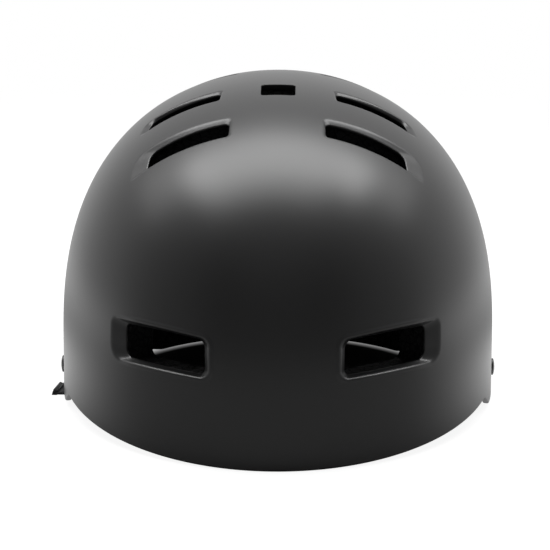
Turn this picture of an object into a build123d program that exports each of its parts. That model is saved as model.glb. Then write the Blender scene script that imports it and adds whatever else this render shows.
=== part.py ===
from build123d import *
import os
from math import asin, cos, hypot, pi, radians, sin, sqrt

# Round-shell skateboard helmet with a foam liner, pads and a buckled strap harness
# The brow faces -Y, +Z is up, and the rim rests on z = 0 at the brow and the nape

# Outer form of the shell
half_width = 107.0
front_reach = 145.0
rear_reach = 117.0
widest_y = 14.0
crown_height = 161.2
wall_top = 30.7
height_power_share = 2.479
width_power_share = 2.071
meridian_points = 14

# Walls and fits
shell_wall = 3.0
collar_wall = 2.2
liner_wall = 21.0
fit_gap = 0.3
cut_overrun = 8.0
solid_skirt = 12.0

# Rim line, seen from the side
temple_y = -33.0
temple_rise = 8.9
lobe_front_y = -19.0
lobe_rear_y = 21.0
lobe_height = 2.2
ear_front_y = 34.0
ear_rear_y = 58.0
ear_height = 13.0
nape_y = 74.0
temple_round = 3.0
lobe_round = 6.0
ear_round = 11.0
nape_round = 8.0
liner_lift = 5.0

# Front vents
front_vent_x = 54.0
front_vent_z = 52.5
front_vent_length = 64.0
front_vent_height = 21.0
front_vent_ramps = (7.0, 6.0)
front_vent_bevels = (3.6, 1.3)
front_vent_depth = 4.6
vent_corner = 4.5

# Crown slots, three pairs
slot_length = 51.0
slot_width = 15.5
slot_ramps = (3.0, 8.0)
slot_bevels = (2.2, 2.2)
slot_depth = 4.0
slot_corner = 3.5
slot_x = 45.5
slot_first_y = -52.5
slot_pitch = 38.5
slot_pairs = 3
slot_turn = 12.0
slot_turn_step = 2.0

# Rear vents
rear_vent_x = 47.0
rear_vent_z = 66.0
rear_vent_length = 50.0
rear_vent_height = 18.0

# Small slot on the centre line
centre_slot_width = 16.0
centre_slot_length = 15.5
centre_slot_y = -22.0
centre_slot_corner = 1.5
channel_gap = 1.5

# Comfort pads, held off the liner by their hook patches
patch_radius = 8.0
patch_thickness = 1.0
patch_gap = 0.05
pad_thickness = 8.0
pad_back_reach = 3.0
brow_pad_low = 15.0
brow_pad_high = 37.0
brow_pad_turn = 33.0
side_pad_low = 30.0
side_pad_high = 64.0
side_pad_from = 14.0
side_pad_to = 42.0
rear_pad_low = 16.0
rear_pad_high = 44.0
rear_pad_turn = 36.0
crown_pad_from = -6.0
crown_pad_to = 58.0
crown_pad_width = 34.0
pad_station_shares = (0.0, 0.1, 0.5, 0.9, 1.0)
pad_size_shares = (0.62, 0.92, 1.0, 0.92, 0.62)
pad_crown_shares = ((0.5, 0.45), (0.38, 0.9), (0.0, 1.0))

# Webbing
strap_width = 16.0
strap_thickness = 1.4
layer_gap = 0.1
strap_y = 8.0
anchor_gap = 0.45
anchor_end_z = 22.5
liner_run_z = 4.2
run_bend = 3.0
stack_x = 71.0
stack_top_z = 84.0
slope_top_x = 36.0
arch_z = 116.0
arch_bend = 14.0
stack_join_z = 72.0
sewn_low_z = 73.5

# Route of the rear run: share of its length from the rivet end, share of the way back from the strap
rear_route_shares = (
    (0.0, 1.045),
    (0.07, 1.0),
    (0.152, 0.928),
    (0.167, 0.915),
    (0.181, 0.9),
    (0.196, 0.882),
    (0.27, 0.77),
    (0.344, 0.658),
    (0.359, 0.638),
    (0.373, 0.62),
    (0.388, 0.603),
    (0.437, 0.53),
    (0.493, 0.441),
    (0.549, 0.347),
    (0.605, 0.25),
    (0.661, 0.158),
    (0.717, 0.08),
    (0.772, 0.033),
    (0.828, 0.01),
    (0.884, 0.002),
    (0.94, 0.0),
    (1.0, 0.0),
)
rear_run_z = 3.2
rear_shell_gap = 0.3
rear_liner_gap = 1.9
fold_share = 0.49

# Loose end of the chin strap
tail_x = 67.4
tail_run_z = 1.0
tail_reach = 111.3
tail_lean_x = 108.1
tail_end_z = 11.0
tail_bend = 1.6

# Rivets and washers
side_rivet_z = 14.3
rear_rivet_y = 84.0
rear_rivet_z = 15.0
rivet_head_radius = 4.2
rivet_head_height = 1.6
rivet_shank_radius = 1.9
rivet_hole_radius = 2.1
rivet_tail_radius = 3.2
rivet_tail_height = 1.2
washer_radius = 5.6
washer_thickness = 1.0
washer_gap = 0.7
washer_bore_radius = 2.0
pocket_radius = 7.5
pocket_spare = 2.0

# Strap dividers
divider_low_z = 48.0
divider_height = 14.0
divider_width = 30.0
divider_slot_width = 24.0
divider_wall = 1.4
divider_window = 6.5
divider_corner = 3.0
divider_play = 0.3

# Rubber keeper ring
keeper_low_z = 10.0
keeper_height = 6.0
keeper_wall = 1.6
keeper_play = 0.3

# Side-release buckle, along X on the top run of the harness
buckle_mouth_x = -8.0
socket_length = 31.5
socket_width = 24.0
socket_thickness = 9.0
socket_wall = 2.0
socket_cavity_length = 21.0
socket_web = 2.5
bar_thickness = 4.0
bar_length = 4.0
bar_play = 0.3
bar_bend = 1.6
rail_thickness = 6.4
window_from = 9.0
window_length = 9.5
buckle_corner = 3.0
buckle_edge = 0.8
plug_shoulder = 5.0
plug_thickness = 5.2
plug_mouth_gap = 0.3
plug_bar_slot = 4.0
rail_width = 3.5
cavity_height = 5.8
window_lead = 1.5
plug_end_slot = 3.0
plug_end_bar = 2.0
prong_width = 3.0
prong_length = 18.0
knuckle_radius = 1.6
knuckle_gap = 0.05
knuckle_inset = 2.6
knuckle_offset = 7.2
arm_thickness = 1.8
arm_head_proud = 0.3
arm_head_thickness = 5.6
arm_play = 0.3
arm_swing_room = 0.7
arm_height = 4.8

# Sizes that follow from the ones above
front_y = widest_y - front_reach
rear_y = widest_y + rear_reach
liner_outer = shell_wall + fit_gap
liner_inner = liner_outer + liner_wall
pad_back = liner_inner + patch_thickness + 2 * patch_gap
strap_inset = shell_wall + anchor_gap + strap_thickness / 2
layer_step = strap_thickness + layer_gap
stack_outer_x = stack_x + layer_step
stack_middle_x = stack_x + layer_step / 2
slot_thickness = strap_thickness + layer_step + 2 * divider_play
divider_thickness = slot_thickness + 2 * divider_wall
washer_inset = shell_wall + anchor_gap + strap_thickness + washer_gap
rear_inner_inset = liner_inner + rear_liner_gap
bar_strap_offset = bar_play + strap_thickness / 2
socket_loop_x = buckle_mouth_x + socket_length - bar_length - bar_strap_offset
plug_loop_x = buckle_mouth_x - plug_mouth_gap - plug_shoulder - plug_bar_slot + bar_strap_offset


def radial_share(z, inset=0.0):
    """Share of the full width that the dome keeps at a height."""
    rise = max(0.0, (z - wall_top) / (crown_height - inset - wall_top))
    return (1 - min(1.0, rise) ** height_power_share) ** (1 / width_power_share)


def reach_at(y, inset=0.0):
    return (front_reach if y < widest_y else rear_reach) - inset


def side_x(y, z=0.0, inset=0.0):
    """Half width of the dome at a place along its length."""
    along = (y - widest_y) / reach_at(y, inset)
    return (half_width - inset) * sqrt(max(0.0, radial_share(z, inset) ** 2 - along ** 2))


def end_y(x, z, side, inset=0.0):
    """Y of the dome's front (-1) or rear (1) face."""
    across = x / (half_width - inset)
    reach = reach_at(widest_y + side, inset)
    return widest_y + side * reach * sqrt(radial_share(z, inset) ** 2 - across ** 2)


def top_z(x, y, inset=0.0):
    """Height of the dome over a place in plan."""
    radial = hypot(x / (half_width - inset), (y - widest_y) / reach_at(y, inset))
    rise = (1 - radial ** width_power_share) ** (1 / height_power_share)
    return wall_top + (crown_height - inset - wall_top) * rise


def level(point):
    """Below zero inside the outer dome, above zero outside it."""
    across = point.X / half_width
    along = (point.Y - widest_y) / reach_at(point.Y)
    return across ** 2 + along ** 2 - radial_share(point.Z) ** 2


def outward(point):
    """Unit normal of the outer dome, from the slopes of its level."""
    reach = half_width / 1000
    slopes = []
    for way in (Vector(1, 0, 0), Vector(0, 1, 0), Vector(0, 0, 1)):
        slopes.append(level(point + way * reach) - level(point - way * reach))
    return Vector(*slopes).normalized()


def surface_frame(point, long_way):
    """A plane on the dome: x along long_way, z outwards."""
    normal = outward(point)
    flat = long_way - normal * long_way.dot(normal)
    return Plane(origin=point, x_dir=flat, z_dir=normal)


def bend_radius(frame, reach):
    """Radius of the dome along a frame's x, from the drop at both ends."""
    total = 0.0
    for way in (-1, 1):
        start = frame.origin + frame.x_dir * (way * reach)
        low, high = -reach, reach
        for _ in range(40):
            drop = (low + high) / 2
            if level(start - frame.z_dir * drop) > 0:
                low = drop
            else:
                high = drop
        total += low
    drop = total / 2
    return (reach ** 2 + drop ** 2) / (2 * drop)


def dome(inset):
    """Solid dome, smaller than the outer form by an inset all round."""
    width = half_width - inset
    rise = crown_height - inset - wall_top
    points = []
    for step in range(meridian_points + 1):
        share = sin(pi / 2 * step / meridian_points)
        radius = (1 - share ** height_power_share) ** (1 / width_power_share)
        points.append((width * radius, wall_top + rise * share))
    curve = Spline(*points, tangents=((0, 1), (-1, 0)))
    sides = Polyline((0, wall_top + rise), (0, -solid_skirt), (width, -solid_skirt), points[0])
    half = Plane.XZ * make_face(curve + sides)
    rear = revolve(half, Axis.Z, revolution_arc=180)
    front = mirror(rear, about=Plane.XZ)
    rear = scale(rear, by=(1, (rear_reach - inset) / width, 1), about=(0, 0, 0))
    front = scale(front, by=(1, (front_reach - inset) / width, 1), about=(0, 0, 0))
    return Pos(0, widest_y, 0) * (front + rear)


def below_rim(lift):
    """Everything under the rim line, raised by a lift."""
    slope = temple_rise / (temple_y - front_y)
    points = [
        (front_y - cut_overrun, -slope * cut_overrun),
        (temple_y, temple_rise),
        (lobe_front_y, lobe_height),
        (lobe_rear_y, lobe_height),
        (ear_front_y, ear_height),
        (ear_rear_y, ear_height),
        (nape_y, 0),
        (rear_y + cut_overrun, 0),
    ]
    radii = [temple_round, lobe_round, lobe_round, ear_round, ear_round, nape_round]
    line = FilletPolyline(*points, radius=radii)
    low = -solid_skirt - cut_overrun - lift
    under = Polyline(points[-1], (rear_y + cut_overrun, low), (front_y - cut_overrun, low), points[0])
    face = Plane.YZ * make_face(line + under)
    return Pos(0, 0, lift) * extrude(face, amount=half_width + cut_overrun, both=True)


def vent_cut(frame, length, width, ramps, bevels, depth, corner, grow=0.0, sink=0.0):
    """A recess that follows the dome, with sloped ends and sides."""
    radius = bend_radius(frame, length / 2)
    floor = depth + sink
    half = width / 2 + grow
    top = cut_overrun
    low_side = -half + bevels[0]
    high_side = half - bevels[1]
    profile = Polyline(
        (-half, top), (-half, 0), (low_side, -floor), (high_side, -floor), (half, 0), (half, top), close=True
    )
    hub = Axis((0, 0, -radius), (0, 1, 0))
    ring = revolve(Plane.YZ * make_face(profile), hub, revolution_arc=360)
    inner_end = length / 2 + grow
    outer_end = length / 2 + grow
    inner_floor = inner_end - ramps[0]
    outer_floor = outer_end - ramps[1]

    def drop(x):
        return radius - sqrt(radius ** 2 - x ** 2)

    side = Polyline(
        (-inner_end, top),
        (-inner_end, -drop(inner_end)),
        (-inner_floor, -drop(inner_floor) - floor),
        (-inner_floor, -radius / 2),
        (outer_floor, -radius / 2),
        (outer_floor, -drop(outer_floor) - floor),
        (outer_end, -drop(outer_end)),
        (outer_end, top),
        close=True,
    )
    block = extrude(Plane.XZ * make_face(side), amount=width, both=True)
    outline = RectangleRounded(length + 2 * grow, width + 2 * grow, corner + grow)
    rounded = extrude(outline, amount=radius / 2, both=True)
    cut = ring & block & rounded
    return frame.location * cut


def vent_hole(frame, length, width, ramps, bevels, corner, grow, reach):
    """The straight opening under a recess."""
    hole_length = length - ramps[0] - ramps[1] + 2 * grow
    hole_width = width - bevels[0] - bevels[1] + 2 * grow
    centre = ((ramps[0] - ramps[1]) / 2, (bevels[0] - bevels[1]) / 2)
    face = Pos(*centre) * RectangleRounded(hole_length, hole_width, corner)
    return frame.location * extrude(face, amount=-reach)


def vents():
    """Frame and sizes of each vent on the left side."""
    places = []
    point = Vector(-front_vent_x, end_y(front_vent_x, front_vent_z, -1), front_vent_z)
    normal = outward(point)
    along = Vector(0, 0, 1).cross(normal)
    sizes = (front_vent_length, front_vent_height, front_vent_ramps, front_vent_bevels)
    places.append((surface_frame(point, along * -1), sizes, front_vent_depth, vent_corner))
    point = Vector(-rear_vent_x, end_y(rear_vent_x, rear_vent_z, 1), rear_vent_z)
    along = Vector(0, 0, 1).cross(outward(point))
    sizes = (rear_vent_length, rear_vent_height, front_vent_ramps, front_vent_bevels[::-1])
    places.append((surface_frame(point, along), sizes, front_vent_depth, vent_corner))
    for pair in range(slot_pairs):
        y = slot_first_y + pair * slot_pitch
        turn = radians(slot_turn + pair * slot_turn_step)
        point = Vector(-slot_x, y, top_z(slot_x, y))
        sizes = (slot_length, slot_width, slot_ramps, slot_bevels)
        frame = surface_frame(point, Vector(-cos(turn), sin(turn), -sin(turn)))
        places.append((frame, sizes, slot_depth, slot_corner))
    return places


def both_sides(left):
    return [left, mirror(left, about=Plane.YZ)]


def outer_shell():
    """Hard shell: a collar stands inwards round every vent."""
    outer = dome(0)
    shell = outer - dome(shell_wall)
    cuts = []
    for frame, sizes, depth, corner in vents():
        collar = vent_cut(frame, *sizes, depth, corner, collar_wall, collar_wall) & outer
        shell += both_sides(collar)
        cuts += both_sides(vent_cut(frame, *sizes, depth, corner))
        cuts += both_sides(vent_hole(frame, *sizes, corner / 2, 0, liner_wall))
    cuts.append(centre_slot(0))
    cuts.append(below_rim(0))
    for y, z in ((strap_y, side_rivet_z), (rear_rivet_y, rear_rivet_z)):
        hole = Cylinder(rivet_hole_radius, 4 * shell_wall)
        cuts += both_sides(rivet_frame(y, z).location * hole)
    for cut in cuts:
        shell -= cut
    return shell


def centre_slot(grow):
    """Prism of the small slot on the centre line, through shell and liner."""
    face = RectangleRounded(
        centre_slot_width + 2 * grow, centre_slot_length + 2 * grow, centre_slot_corner + grow
    )
    low = crown_height - 2 * liner_inner
    return Pos(0, centre_slot_y, low) * extrude(face, amount=2 * liner_inner + cut_overrun)


def eps_liner():
    """Foam liner: channels under the vents, pockets behind the rivets."""
    liner = dome(liner_outer) - dome(liner_inner)
    grow = collar_wall + fit_gap
    cuts = [below_rim(liner_lift), centre_slot(channel_gap)]
    for frame, sizes, depth, corner in vents():
        cuts += both_sides(vent_cut(frame, *sizes, depth, corner, grow, grow))
        cuts += both_sides(vent_hole(frame, *sizes, corner, channel_gap, 2 * liner_wall))
    for y, z, width in (
        (strap_y, side_rivet_z, strap_width + 2 * channel_gap),
        (rear_rivet_y, rear_rivet_z, 2 * strap_width + 4 * channel_gap),
    ):
        cuts += both_sides(anchor_pocket(y, z, width))
    for cut in cuts:
        liner -= cut
    return liner


def rivet_frame(y, z):
    """Plane on the left of the shell: x up, y back, z outwards."""
    return surface_frame(Vector(-side_x(y, z), y, z), Vector(0, 0, 1))


def anchor_pocket(y, z, width):
    """Room in the liner for a strap end, its washer and the rivet's tail."""
    floor = washer_inset + washer_thickness + rivet_tail_height + pocket_spare
    pocket = Pos(0, 0, -floor / 2) * Cylinder(pocket_radius, floor)
    strap_floor = strap_inset + strap_thickness / 2 + pocket_spare
    top = anchor_end_z - z + pocket_spare
    low = -z - cut_overrun
    channel = Pos((top + low) / 2, 0, -strap_floor / 2) * Box(top - low, width, strap_floor)
    return rivet_frame(y, z).location * (pocket + channel)


def pad_section(height, thickness, inwards):
    """Flat back, drawn-in sides and a crown, in a plane across the pad."""
    back = -pad_back_reach * inwards
    left = [(-side * height, rise * thickness * inwards) for side, rise in pad_crown_shares]
    right = [(-x, y) for x, y in reversed(left[:-1])]
    ends = ((-height / 2, back), (height / 2, back))
    curve = Spline(ends[0], *left, *right, ends[1])
    return make_face(curve + Line(ends[1], ends[0]))


def wall_pad(turn_from, turn_to, low, high):
    """Crowned pad along the liner's wall, between two plan angles."""
    sections = []
    for place, size in zip(pad_station_shares, pad_size_shares):
        plane = wall_plane(turn_from + (turn_to - turn_from) * place, (low + high) / 2, pad_back)
        sections.append(plane * pad_section((high - low) * size, pad_thickness * size, -1))
    return loft(sections) & dome(pad_back)


def wall_plane(turn, z, inset):
    """Upright plane across the wall at a plan angle: x up, y outwards."""
    angle = radians(turn)
    width = half_width - inset
    reach = (front_reach if sin(angle) < 0 else rear_reach) - inset
    share = radial_share(z, inset)
    point = Vector(share * width * cos(angle), widest_y + share * reach * sin(angle), z)
    return Plane(origin=point, x_dir=(0, 0, 1), z_dir=(-width * sin(angle), reach * cos(angle), 0))


def crown_pad():
    """Crowned pad under the top of the liner."""
    sections = []
    for place, size in zip(pad_station_shares, pad_size_shares):
        y = crown_pad_from + (crown_pad_to - crown_pad_from) * place
        plane = Plane(origin=(0, y, top_z(0, y, pad_back)), x_dir=(1, 0, 0), z_dir=(0, 1, 0))
        sections.append(plane * pad_section(crown_pad_width * size, pad_thickness * size, 1))
    return loft(sections) & dome(pad_back)


def hook_patches():
    """Discs of hook tape between the liner and the pads."""
    inset = liner_inner + patch_gap
    skin = dome(inset) - dome(inset + patch_thickness)
    places = []
    for turn, z in patch_places():
        plane = wall_plane(turn, z, inset)
        places.append(Plane(origin=plane.origin, z_dir=plane.y_dir))
    for y in (crown_pad_from, crown_pad_to):
        middle = (crown_pad_from + crown_pad_to) / 2
        y = middle + (y - middle) / 2
        places.append(Plane(origin=(0, y, top_z(0, y, inset)), z_dir=(0, 0, 1)))
    discs = [place.location * Cylinder(patch_radius, 2 * pad_thickness) & skin for place in places]
    return Compound(children=[disc.solid() for disc in discs])


def patch_places():
    """Plan angle and height of each patch on the walls."""
    side_z = (side_pad_low + side_pad_high) / 2
    brow_z = (brow_pad_low + brow_pad_high) / 2
    rear_z = (rear_pad_low + rear_pad_high) / 2
    side_middle = (side_pad_from + side_pad_to) / 2
    side_step = (side_pad_to - side_pad_from) / 4
    places = [(-90, brow_z)]
    for way in (-1, 1):
        places.append((-90 + way * brow_pad_turn * 2 / 3, brow_z))
        places.append((90 + way * rear_pad_turn / 2, rear_z))
        for step in (-side_step, side_step):
            places.append((-90 + way * (90 - side_middle - step), side_z))
    return places


def rivet(frame):
    """Round head outside, shank through the wall, clinched tail inside."""
    under = patch_gap
    top = under + rivet_head_height
    low = -(washer_inset + washer_thickness + patch_gap)
    tail_low = low - rivet_tail_height
    tail_flat = rivet_tail_radius - rivet_tail_height / 2
    ball = (rivet_head_radius ** 2 + rivet_head_height ** 2) / (2 * rivet_head_height)
    half_turn = asin(rivet_head_radius / ball) / 2
    crown = ThreePointArc(
        (rivet_head_radius, under),
        (ball * sin(half_turn), top - ball + ball * cos(half_turn)),
        (0, top),
    )
    sides = Polyline(
        (0, top),
        (0, tail_low),
        (tail_flat, tail_low),
        (rivet_tail_radius, low),
        (rivet_shank_radius, low),
        (rivet_shank_radius, under),
        (rivet_head_radius, under),
    )
    outline = sides + crown
    return frame.location * revolve(Plane.XZ * make_face(outline), Axis.Z)


def washer(frame):
    middle = -(washer_inset + washer_thickness / 2)
    ring = Cylinder(washer_radius, washer_thickness) - Cylinder(washer_bore_radius, washer_thickness)
    return frame.location * (Pos(0, 0, middle) * ring)


def webbing(points, radii):
    """Flat webbing along a path in the upright plane of the side rivets."""
    line = Plane.XZ * FilletPolyline(*points, radius=radii)
    start = Plane(origin=line @ 0, x_dir=(0, 1, 0), z_dir=line % 0)
    strip = sweep(start * Rectangle(strap_width, strap_thickness), path=line)
    return Pos(0, strap_y, 0) * strip


def anchored_points():
    """Start of a side strap on the left: behind the shell, under the liner, up."""
    gap_x = side_x(strap_y) - strap_inset
    return [(-gap_x, anchor_end_z), (-gap_x, liner_run_z), (-stack_x, liner_run_z)]


def rear_run():
    """The other end of a side strap, on the left: from the rear rivet to the stack."""
    start = strap_inset + rear_shell_gap
    profile = FilletPolyline(
        (start, anchor_end_z),
        (start, rear_run_z),
        (rear_inner_inset, rear_run_z),
        (rear_inner_inset, stack_join_z),
        radius=run_bend,
    )
    points = []
    planes = []
    for share, back in rear_route_shares:
        inset, z = (profile @ share).X, (profile @ share).Y
        y = strap_y + back * (rear_rivet_y - strap_y)
        x = min(side_x(y, 0, inset), stack_outer_x + rear_inner_inset - inset)
        points.append(Vector(-x, y, z))
        round_y = max(y, widest_y)
        normal = outward(Vector(-side_x(round_y), round_y, 0))
        heading = profile % share
        ahead = Vector(0, 0, 1) * heading.Y - normal * heading.X
        planes.append(Plane(origin=points[-1], x_dir=Vector(0, 0, 1).cross(normal), z_dir=ahead))
    sections = []
    for place, plane in enumerate(planes):
        run = points[min(place + 1, len(points) - 1)] - points[max(place - 1, 0)]
        spread = strap_width / abs(run.normalized().dot(plane.z_dir))
        sections.append(plane * Rectangle(spread, strap_thickness))
    return loft(sections, ruled=True)


def rivet_hole(strap, y, z):
    return strap - rivet_frame(y, z).location * Cylinder(rivet_hole_radius, 4 * strap_inset)


def side_strap(front_run):
    """Both ends of a left strap joined, with a hole for each rivet."""
    front = rivet_hole(front_run, strap_y, side_rivet_z)
    rear = rivet_hole(rear_run(), rear_rivet_y, rear_rivet_z)
    return front + rear


def strap_left():
    """Webbing from rivet to rivet, folded over at the top of the doubled part."""
    points = anchored_points() + [
        (-stack_x, stack_top_z),
        (-stack_outer_x, stack_top_z),
        (-stack_outer_x, stack_join_z),
    ]
    fold = layer_step * fold_share
    front = webbing(points, [run_bend, run_bend, fold, fold])
    return side_strap(front)


def strap_right():
    """Webbing from rivet to rivet, looped through the buckle socket."""
    drop = bar_thickness / 2 + bar_play + strap_thickness / 2
    loop_x = -socket_loop_x
    points = anchored_points() + [
        (-stack_x, stack_top_z),
        (-slope_top_x, arch_z - drop),
        (loop_x, arch_z - drop),
        (loop_x, arch_z + drop),
        (-slope_top_x - layer_step, arch_z + drop),
        (-stack_outer_x, stack_top_z + 2 * layer_step),
        (-stack_outer_x, stack_join_z),
    ]
    radii = [run_bend, run_bend, arch_bend, arch_bend, bar_bend, bar_bend, arch_bend, arch_bend]
    return mirror(side_strap(webbing(points, radii)), about=Plane.YZ)


def chin_strap():
    """Webbing sewn to the left strap, looped in the plug, with its loose end."""
    drop = bar_thickness / 2 + bar_play + strap_thickness / 2
    sewn_x = stack_x - layer_step
    points = [
        (-sewn_x, sewn_low_z),
        (-sewn_x, stack_top_z + 2 * layer_step),
        (-slope_top_x - layer_step, arch_z + drop),
        (plug_loop_x, arch_z + drop),
        (plug_loop_x, arch_z - drop),
        (-slope_top_x, arch_z - drop),
        (-tail_x, stack_top_z - layer_step),
        (-tail_x, tail_run_z),
        (-tail_reach, tail_run_z),
        (-tail_lean_x, tail_end_z),
    ]
    radii = [arch_bend, arch_bend, bar_bend, bar_bend, arch_bend, arch_bend, run_bend, tail_bend]
    return webbing(points, radii)


def divider():
    """Slide that holds the two runs of the left strap together."""
    outline = RectangleRounded(divider_width, divider_height, divider_corner)
    plate = extrude(Plane.YZ * outline, amount=divider_thickness / 2, both=True)
    slot = Box(slot_thickness, divider_slot_width, 2 * divider_height)
    window = Box(divider_thickness, divider_slot_width, divider_window)
    plate -= slot + Pos(divider_thickness / 2, 0, 0) * window
    rims = plate.edges().filter_by(Plane.YZ).group_by(Axis.X)
    plate = fillet(rims[0], divider_wall / 3)
    return Pos(-stack_middle_x, strap_y, divider_low_z + divider_height / 2) * plate


def keeper_ring():
    """Rubber ring round the side strap and the loose end."""
    far = stack_x + strap_thickness / 2 + keeper_play
    near = tail_x - strap_thickness / 2 - keeper_play
    inside = Rectangle(far - near, strap_width + 2 * keeper_play)
    outside = RectangleRounded(
        far - near + 2 * keeper_wall, strap_width + 2 * keeper_play + 2 * keeper_wall, keeper_wall
    )
    ring = extrude(outside - inside, amount=keeper_height)
    return Pos(-(far + near) / 2, strap_y, keeper_low_z) * ring


def buckle_place(piece):
    """From the buckle's own frame, with its mouth at x = 0, to the helmet's."""
    return Pos(buckle_mouth_x, strap_y, arch_z) * piece


def slab(outline, thickness):
    """A flat outline made solid, half above and half below its plane."""
    return extrude(outline, amount=thickness / 2, both=True)


def span(x_from, x_to, width):
    """Rectangle between two places along the buckle."""
    return Pos((x_from + x_to) / 2, 0) * Rectangle(abs(x_to - x_from), width)


def buckle_socket():
    """Hollow half of the buckle: side windows, and a bar for the right strap."""
    half = socket_thickness / 2
    low = rail_thickness / 2
    web_end = socket_cavity_length + socket_web
    bar_from = socket_length - bar_length
    side = Polyline(
        (0, -half), (socket_cavity_length, -half), (bar_from, -low), (socket_length, -low),
        (socket_length, low), (bar_from, low), (socket_cavity_length, half), (0, half), close=True
    )
    plan = Pos(socket_length / 2, 0) * RectangleRounded(socket_length, socket_width, buckle_corner)
    body = slab(Plane.XZ * make_face(side), socket_width) & slab(plan, socket_thickness)
    body = fillet(body.edges().group_by(Axis.Z)[-1] + body.edges().group_by(Axis.Z)[0], buckle_edge)
    inner_width = socket_width - 2 * socket_wall
    body -= slab(span(-cut_overrun, socket_cavity_length, inner_width), cavity_height)
    windows = span(window_from, window_from + window_length, 2 * socket_width)
    body -= slab(windows, cavity_height)
    strap_room = socket_width - 2 * rail_width
    body -= slab(span(web_end, bar_from, strap_room), 2 * socket_thickness)
    over_bar = slab(span(web_end, socket_length + cut_overrun, strap_room), socket_thickness)
    over_bar -= slab(span(web_end, socket_length + cut_overrun, strap_room), bar_thickness)
    return buckle_place(body - over_bar)


def buckle_plug():
    """Plug half: centre prong, a seat for each arm and the adjuster's bars."""
    mouth = -plug_mouth_gap
    shoulder = mouth - plug_shoulder
    slot_end = shoulder - plug_bar_slot
    bar_end = slot_end - bar_length
    end_slot = bar_end - plug_end_slot
    tip = end_slot - plug_end_bar
    outline = Pos((mouth + tip) / 2, 0) * RectangleRounded(mouth - tip, socket_width, buckle_corner)
    square = span(mouth, shoulder, socket_width)
    body = slab(outline, bar_thickness) + slab(square, plug_thickness)
    body = fillet(body.edges().filter_by(Axis.Z).group_by(Axis.X)[-1], buckle_edge)
    strap_room = socket_width - 2 * rail_width
    body -= slab(span(shoulder, slot_end, strap_room), 2 * socket_thickness)
    body -= slab(span(bar_end, end_slot, strap_room), 2 * socket_thickness)
    prong = Pos(prong_length / 2 - buckle_edge, 0) * RectangleRounded(
        prong_length + 2 * buckle_edge, prong_width, prong_width / 3
    )
    body += slab(prong, plug_thickness) & slab(span(shoulder, prong_length, socket_width), arm_height)
    for side in (-1, 1):
        body -= slab(arm_seat(side), 2 * socket_thickness)
    return buckle_place(body)


def arm_seat(side):
    """Outline cut from the plug for an arm's knuckle and its swing."""
    knuckle = Pos(-knuckle_inset, side * knuckle_offset) * Circle(knuckle_radius + knuckle_gap)
    low = knuckle_offset - arm_thickness / 2 - arm_play - arm_swing_room
    high = knuckle_offset + arm_thickness / 2 + arm_play
    mouth = Pos(-knuckle_inset / 2, side * (low + high) / 2) * Rectangle(knuckle_inset, high - low)
    return knuckle + mouth


def buckle_arm(side):
    """Sprung arm with a head that catches behind the socket's window."""
    inner = knuckle_offset - arm_thickness / 2
    outer = knuckle_offset + arm_thickness / 2
    catch = window_from + arm_play
    head_end = window_from + window_length - arm_play
    proud = socket_width / 2 + arm_head_proud
    head_inner = proud - arm_head_thickness
    points = [
        (-knuckle_inset, inner),
        (catch, head_inner),
        (head_end - window_lead, head_inner),
        (head_end + window_lead, head_inner + arm_thickness),
        (head_end - window_lead, proud - window_lead),
        (head_end - 2 * window_lead, proud),
        (catch, proud),
        (catch, head_inner + arm_thickness),
        (-knuckle_inset, outer),
    ]
    strip = make_face(Polyline(*[(x, side * y) for x, y in points], close=True))
    knuckle = Pos(-knuckle_inset, side * knuckle_offset) * Circle(knuckle_radius)
    return buckle_place(slab(strip + knuckle, arm_height))


def save(name, piece):
    piece.label = name
    export_step(piece, os.path.join("parts", name + ".step"))


def main():
    os.makedirs("parts", exist_ok=True)
    save("outer_shell", outer_shell())
    save("eps_liner", eps_liner())
    save("brow_pad", wall_pad(-90 - brow_pad_turn, -90 + brow_pad_turn, brow_pad_low, brow_pad_high))
    side_pad = wall_pad(180 + side_pad_from, 180 + side_pad_to, side_pad_low, side_pad_high)
    save("side_pad_left", side_pad)
    save("side_pad_right", mirror(side_pad, about=Plane.YZ))
    save("rear_pad", wall_pad(90 - rear_pad_turn, 90 + rear_pad_turn, rear_pad_low, rear_pad_high))
    save("crown_pad", crown_pad())
    save("hook_patches", hook_patches())
    for place, y, z in (("side", strap_y, side_rivet_z), ("rear", rear_rivet_y, rear_rivet_z)):
        frame = rivet_frame(y, z)
        for name, piece in ((place + "_rivet", rivet(frame)), (place + "_washer", washer(frame))):
            save(name + "_left", piece)
            save(name + "_right", mirror(piece, about=Plane.YZ))
    save("strap_left", strap_left())
    save("strap_right", strap_right())
    save("chin_strap", chin_strap())
    save("divider_left", divider())
    save("divider_right", mirror(divider(), about=Plane.YZ))
    save("keeper_ring", keeper_ring())
    save("buckle_socket", buckle_socket())
    save("buckle_plug", buckle_plug())
    save("buckle_arm_front", buckle_arm(-1))
    save("buckle_arm_rear", buckle_arm(1))


if __name__ == "__main__":
    main()
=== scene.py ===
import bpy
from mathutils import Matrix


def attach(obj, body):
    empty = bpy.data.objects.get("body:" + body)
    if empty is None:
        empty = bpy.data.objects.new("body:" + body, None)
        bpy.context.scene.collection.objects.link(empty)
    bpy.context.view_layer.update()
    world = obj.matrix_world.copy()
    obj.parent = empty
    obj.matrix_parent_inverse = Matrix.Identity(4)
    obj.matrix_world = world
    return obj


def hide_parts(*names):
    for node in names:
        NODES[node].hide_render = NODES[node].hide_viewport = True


bl_info = {
    "name": "Skate helmet dressing",
    "version": (1, 0, 0),
    "blender": (4, 5, 0),
    "location": "View3D > Sidebar > Helmet",
    "description": "Dresses the packed helmet: shell, foam, pads, webbing, stitches and buckle",
    "category": "Object",
}

from math import atan2, cos, pi, radians, sin, sqrt, tan

import bmesh
import bpy
import numpy as np
from mathutils import Matrix, Vector
from mathutils.geometry import delaunay_2d_cdt

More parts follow.
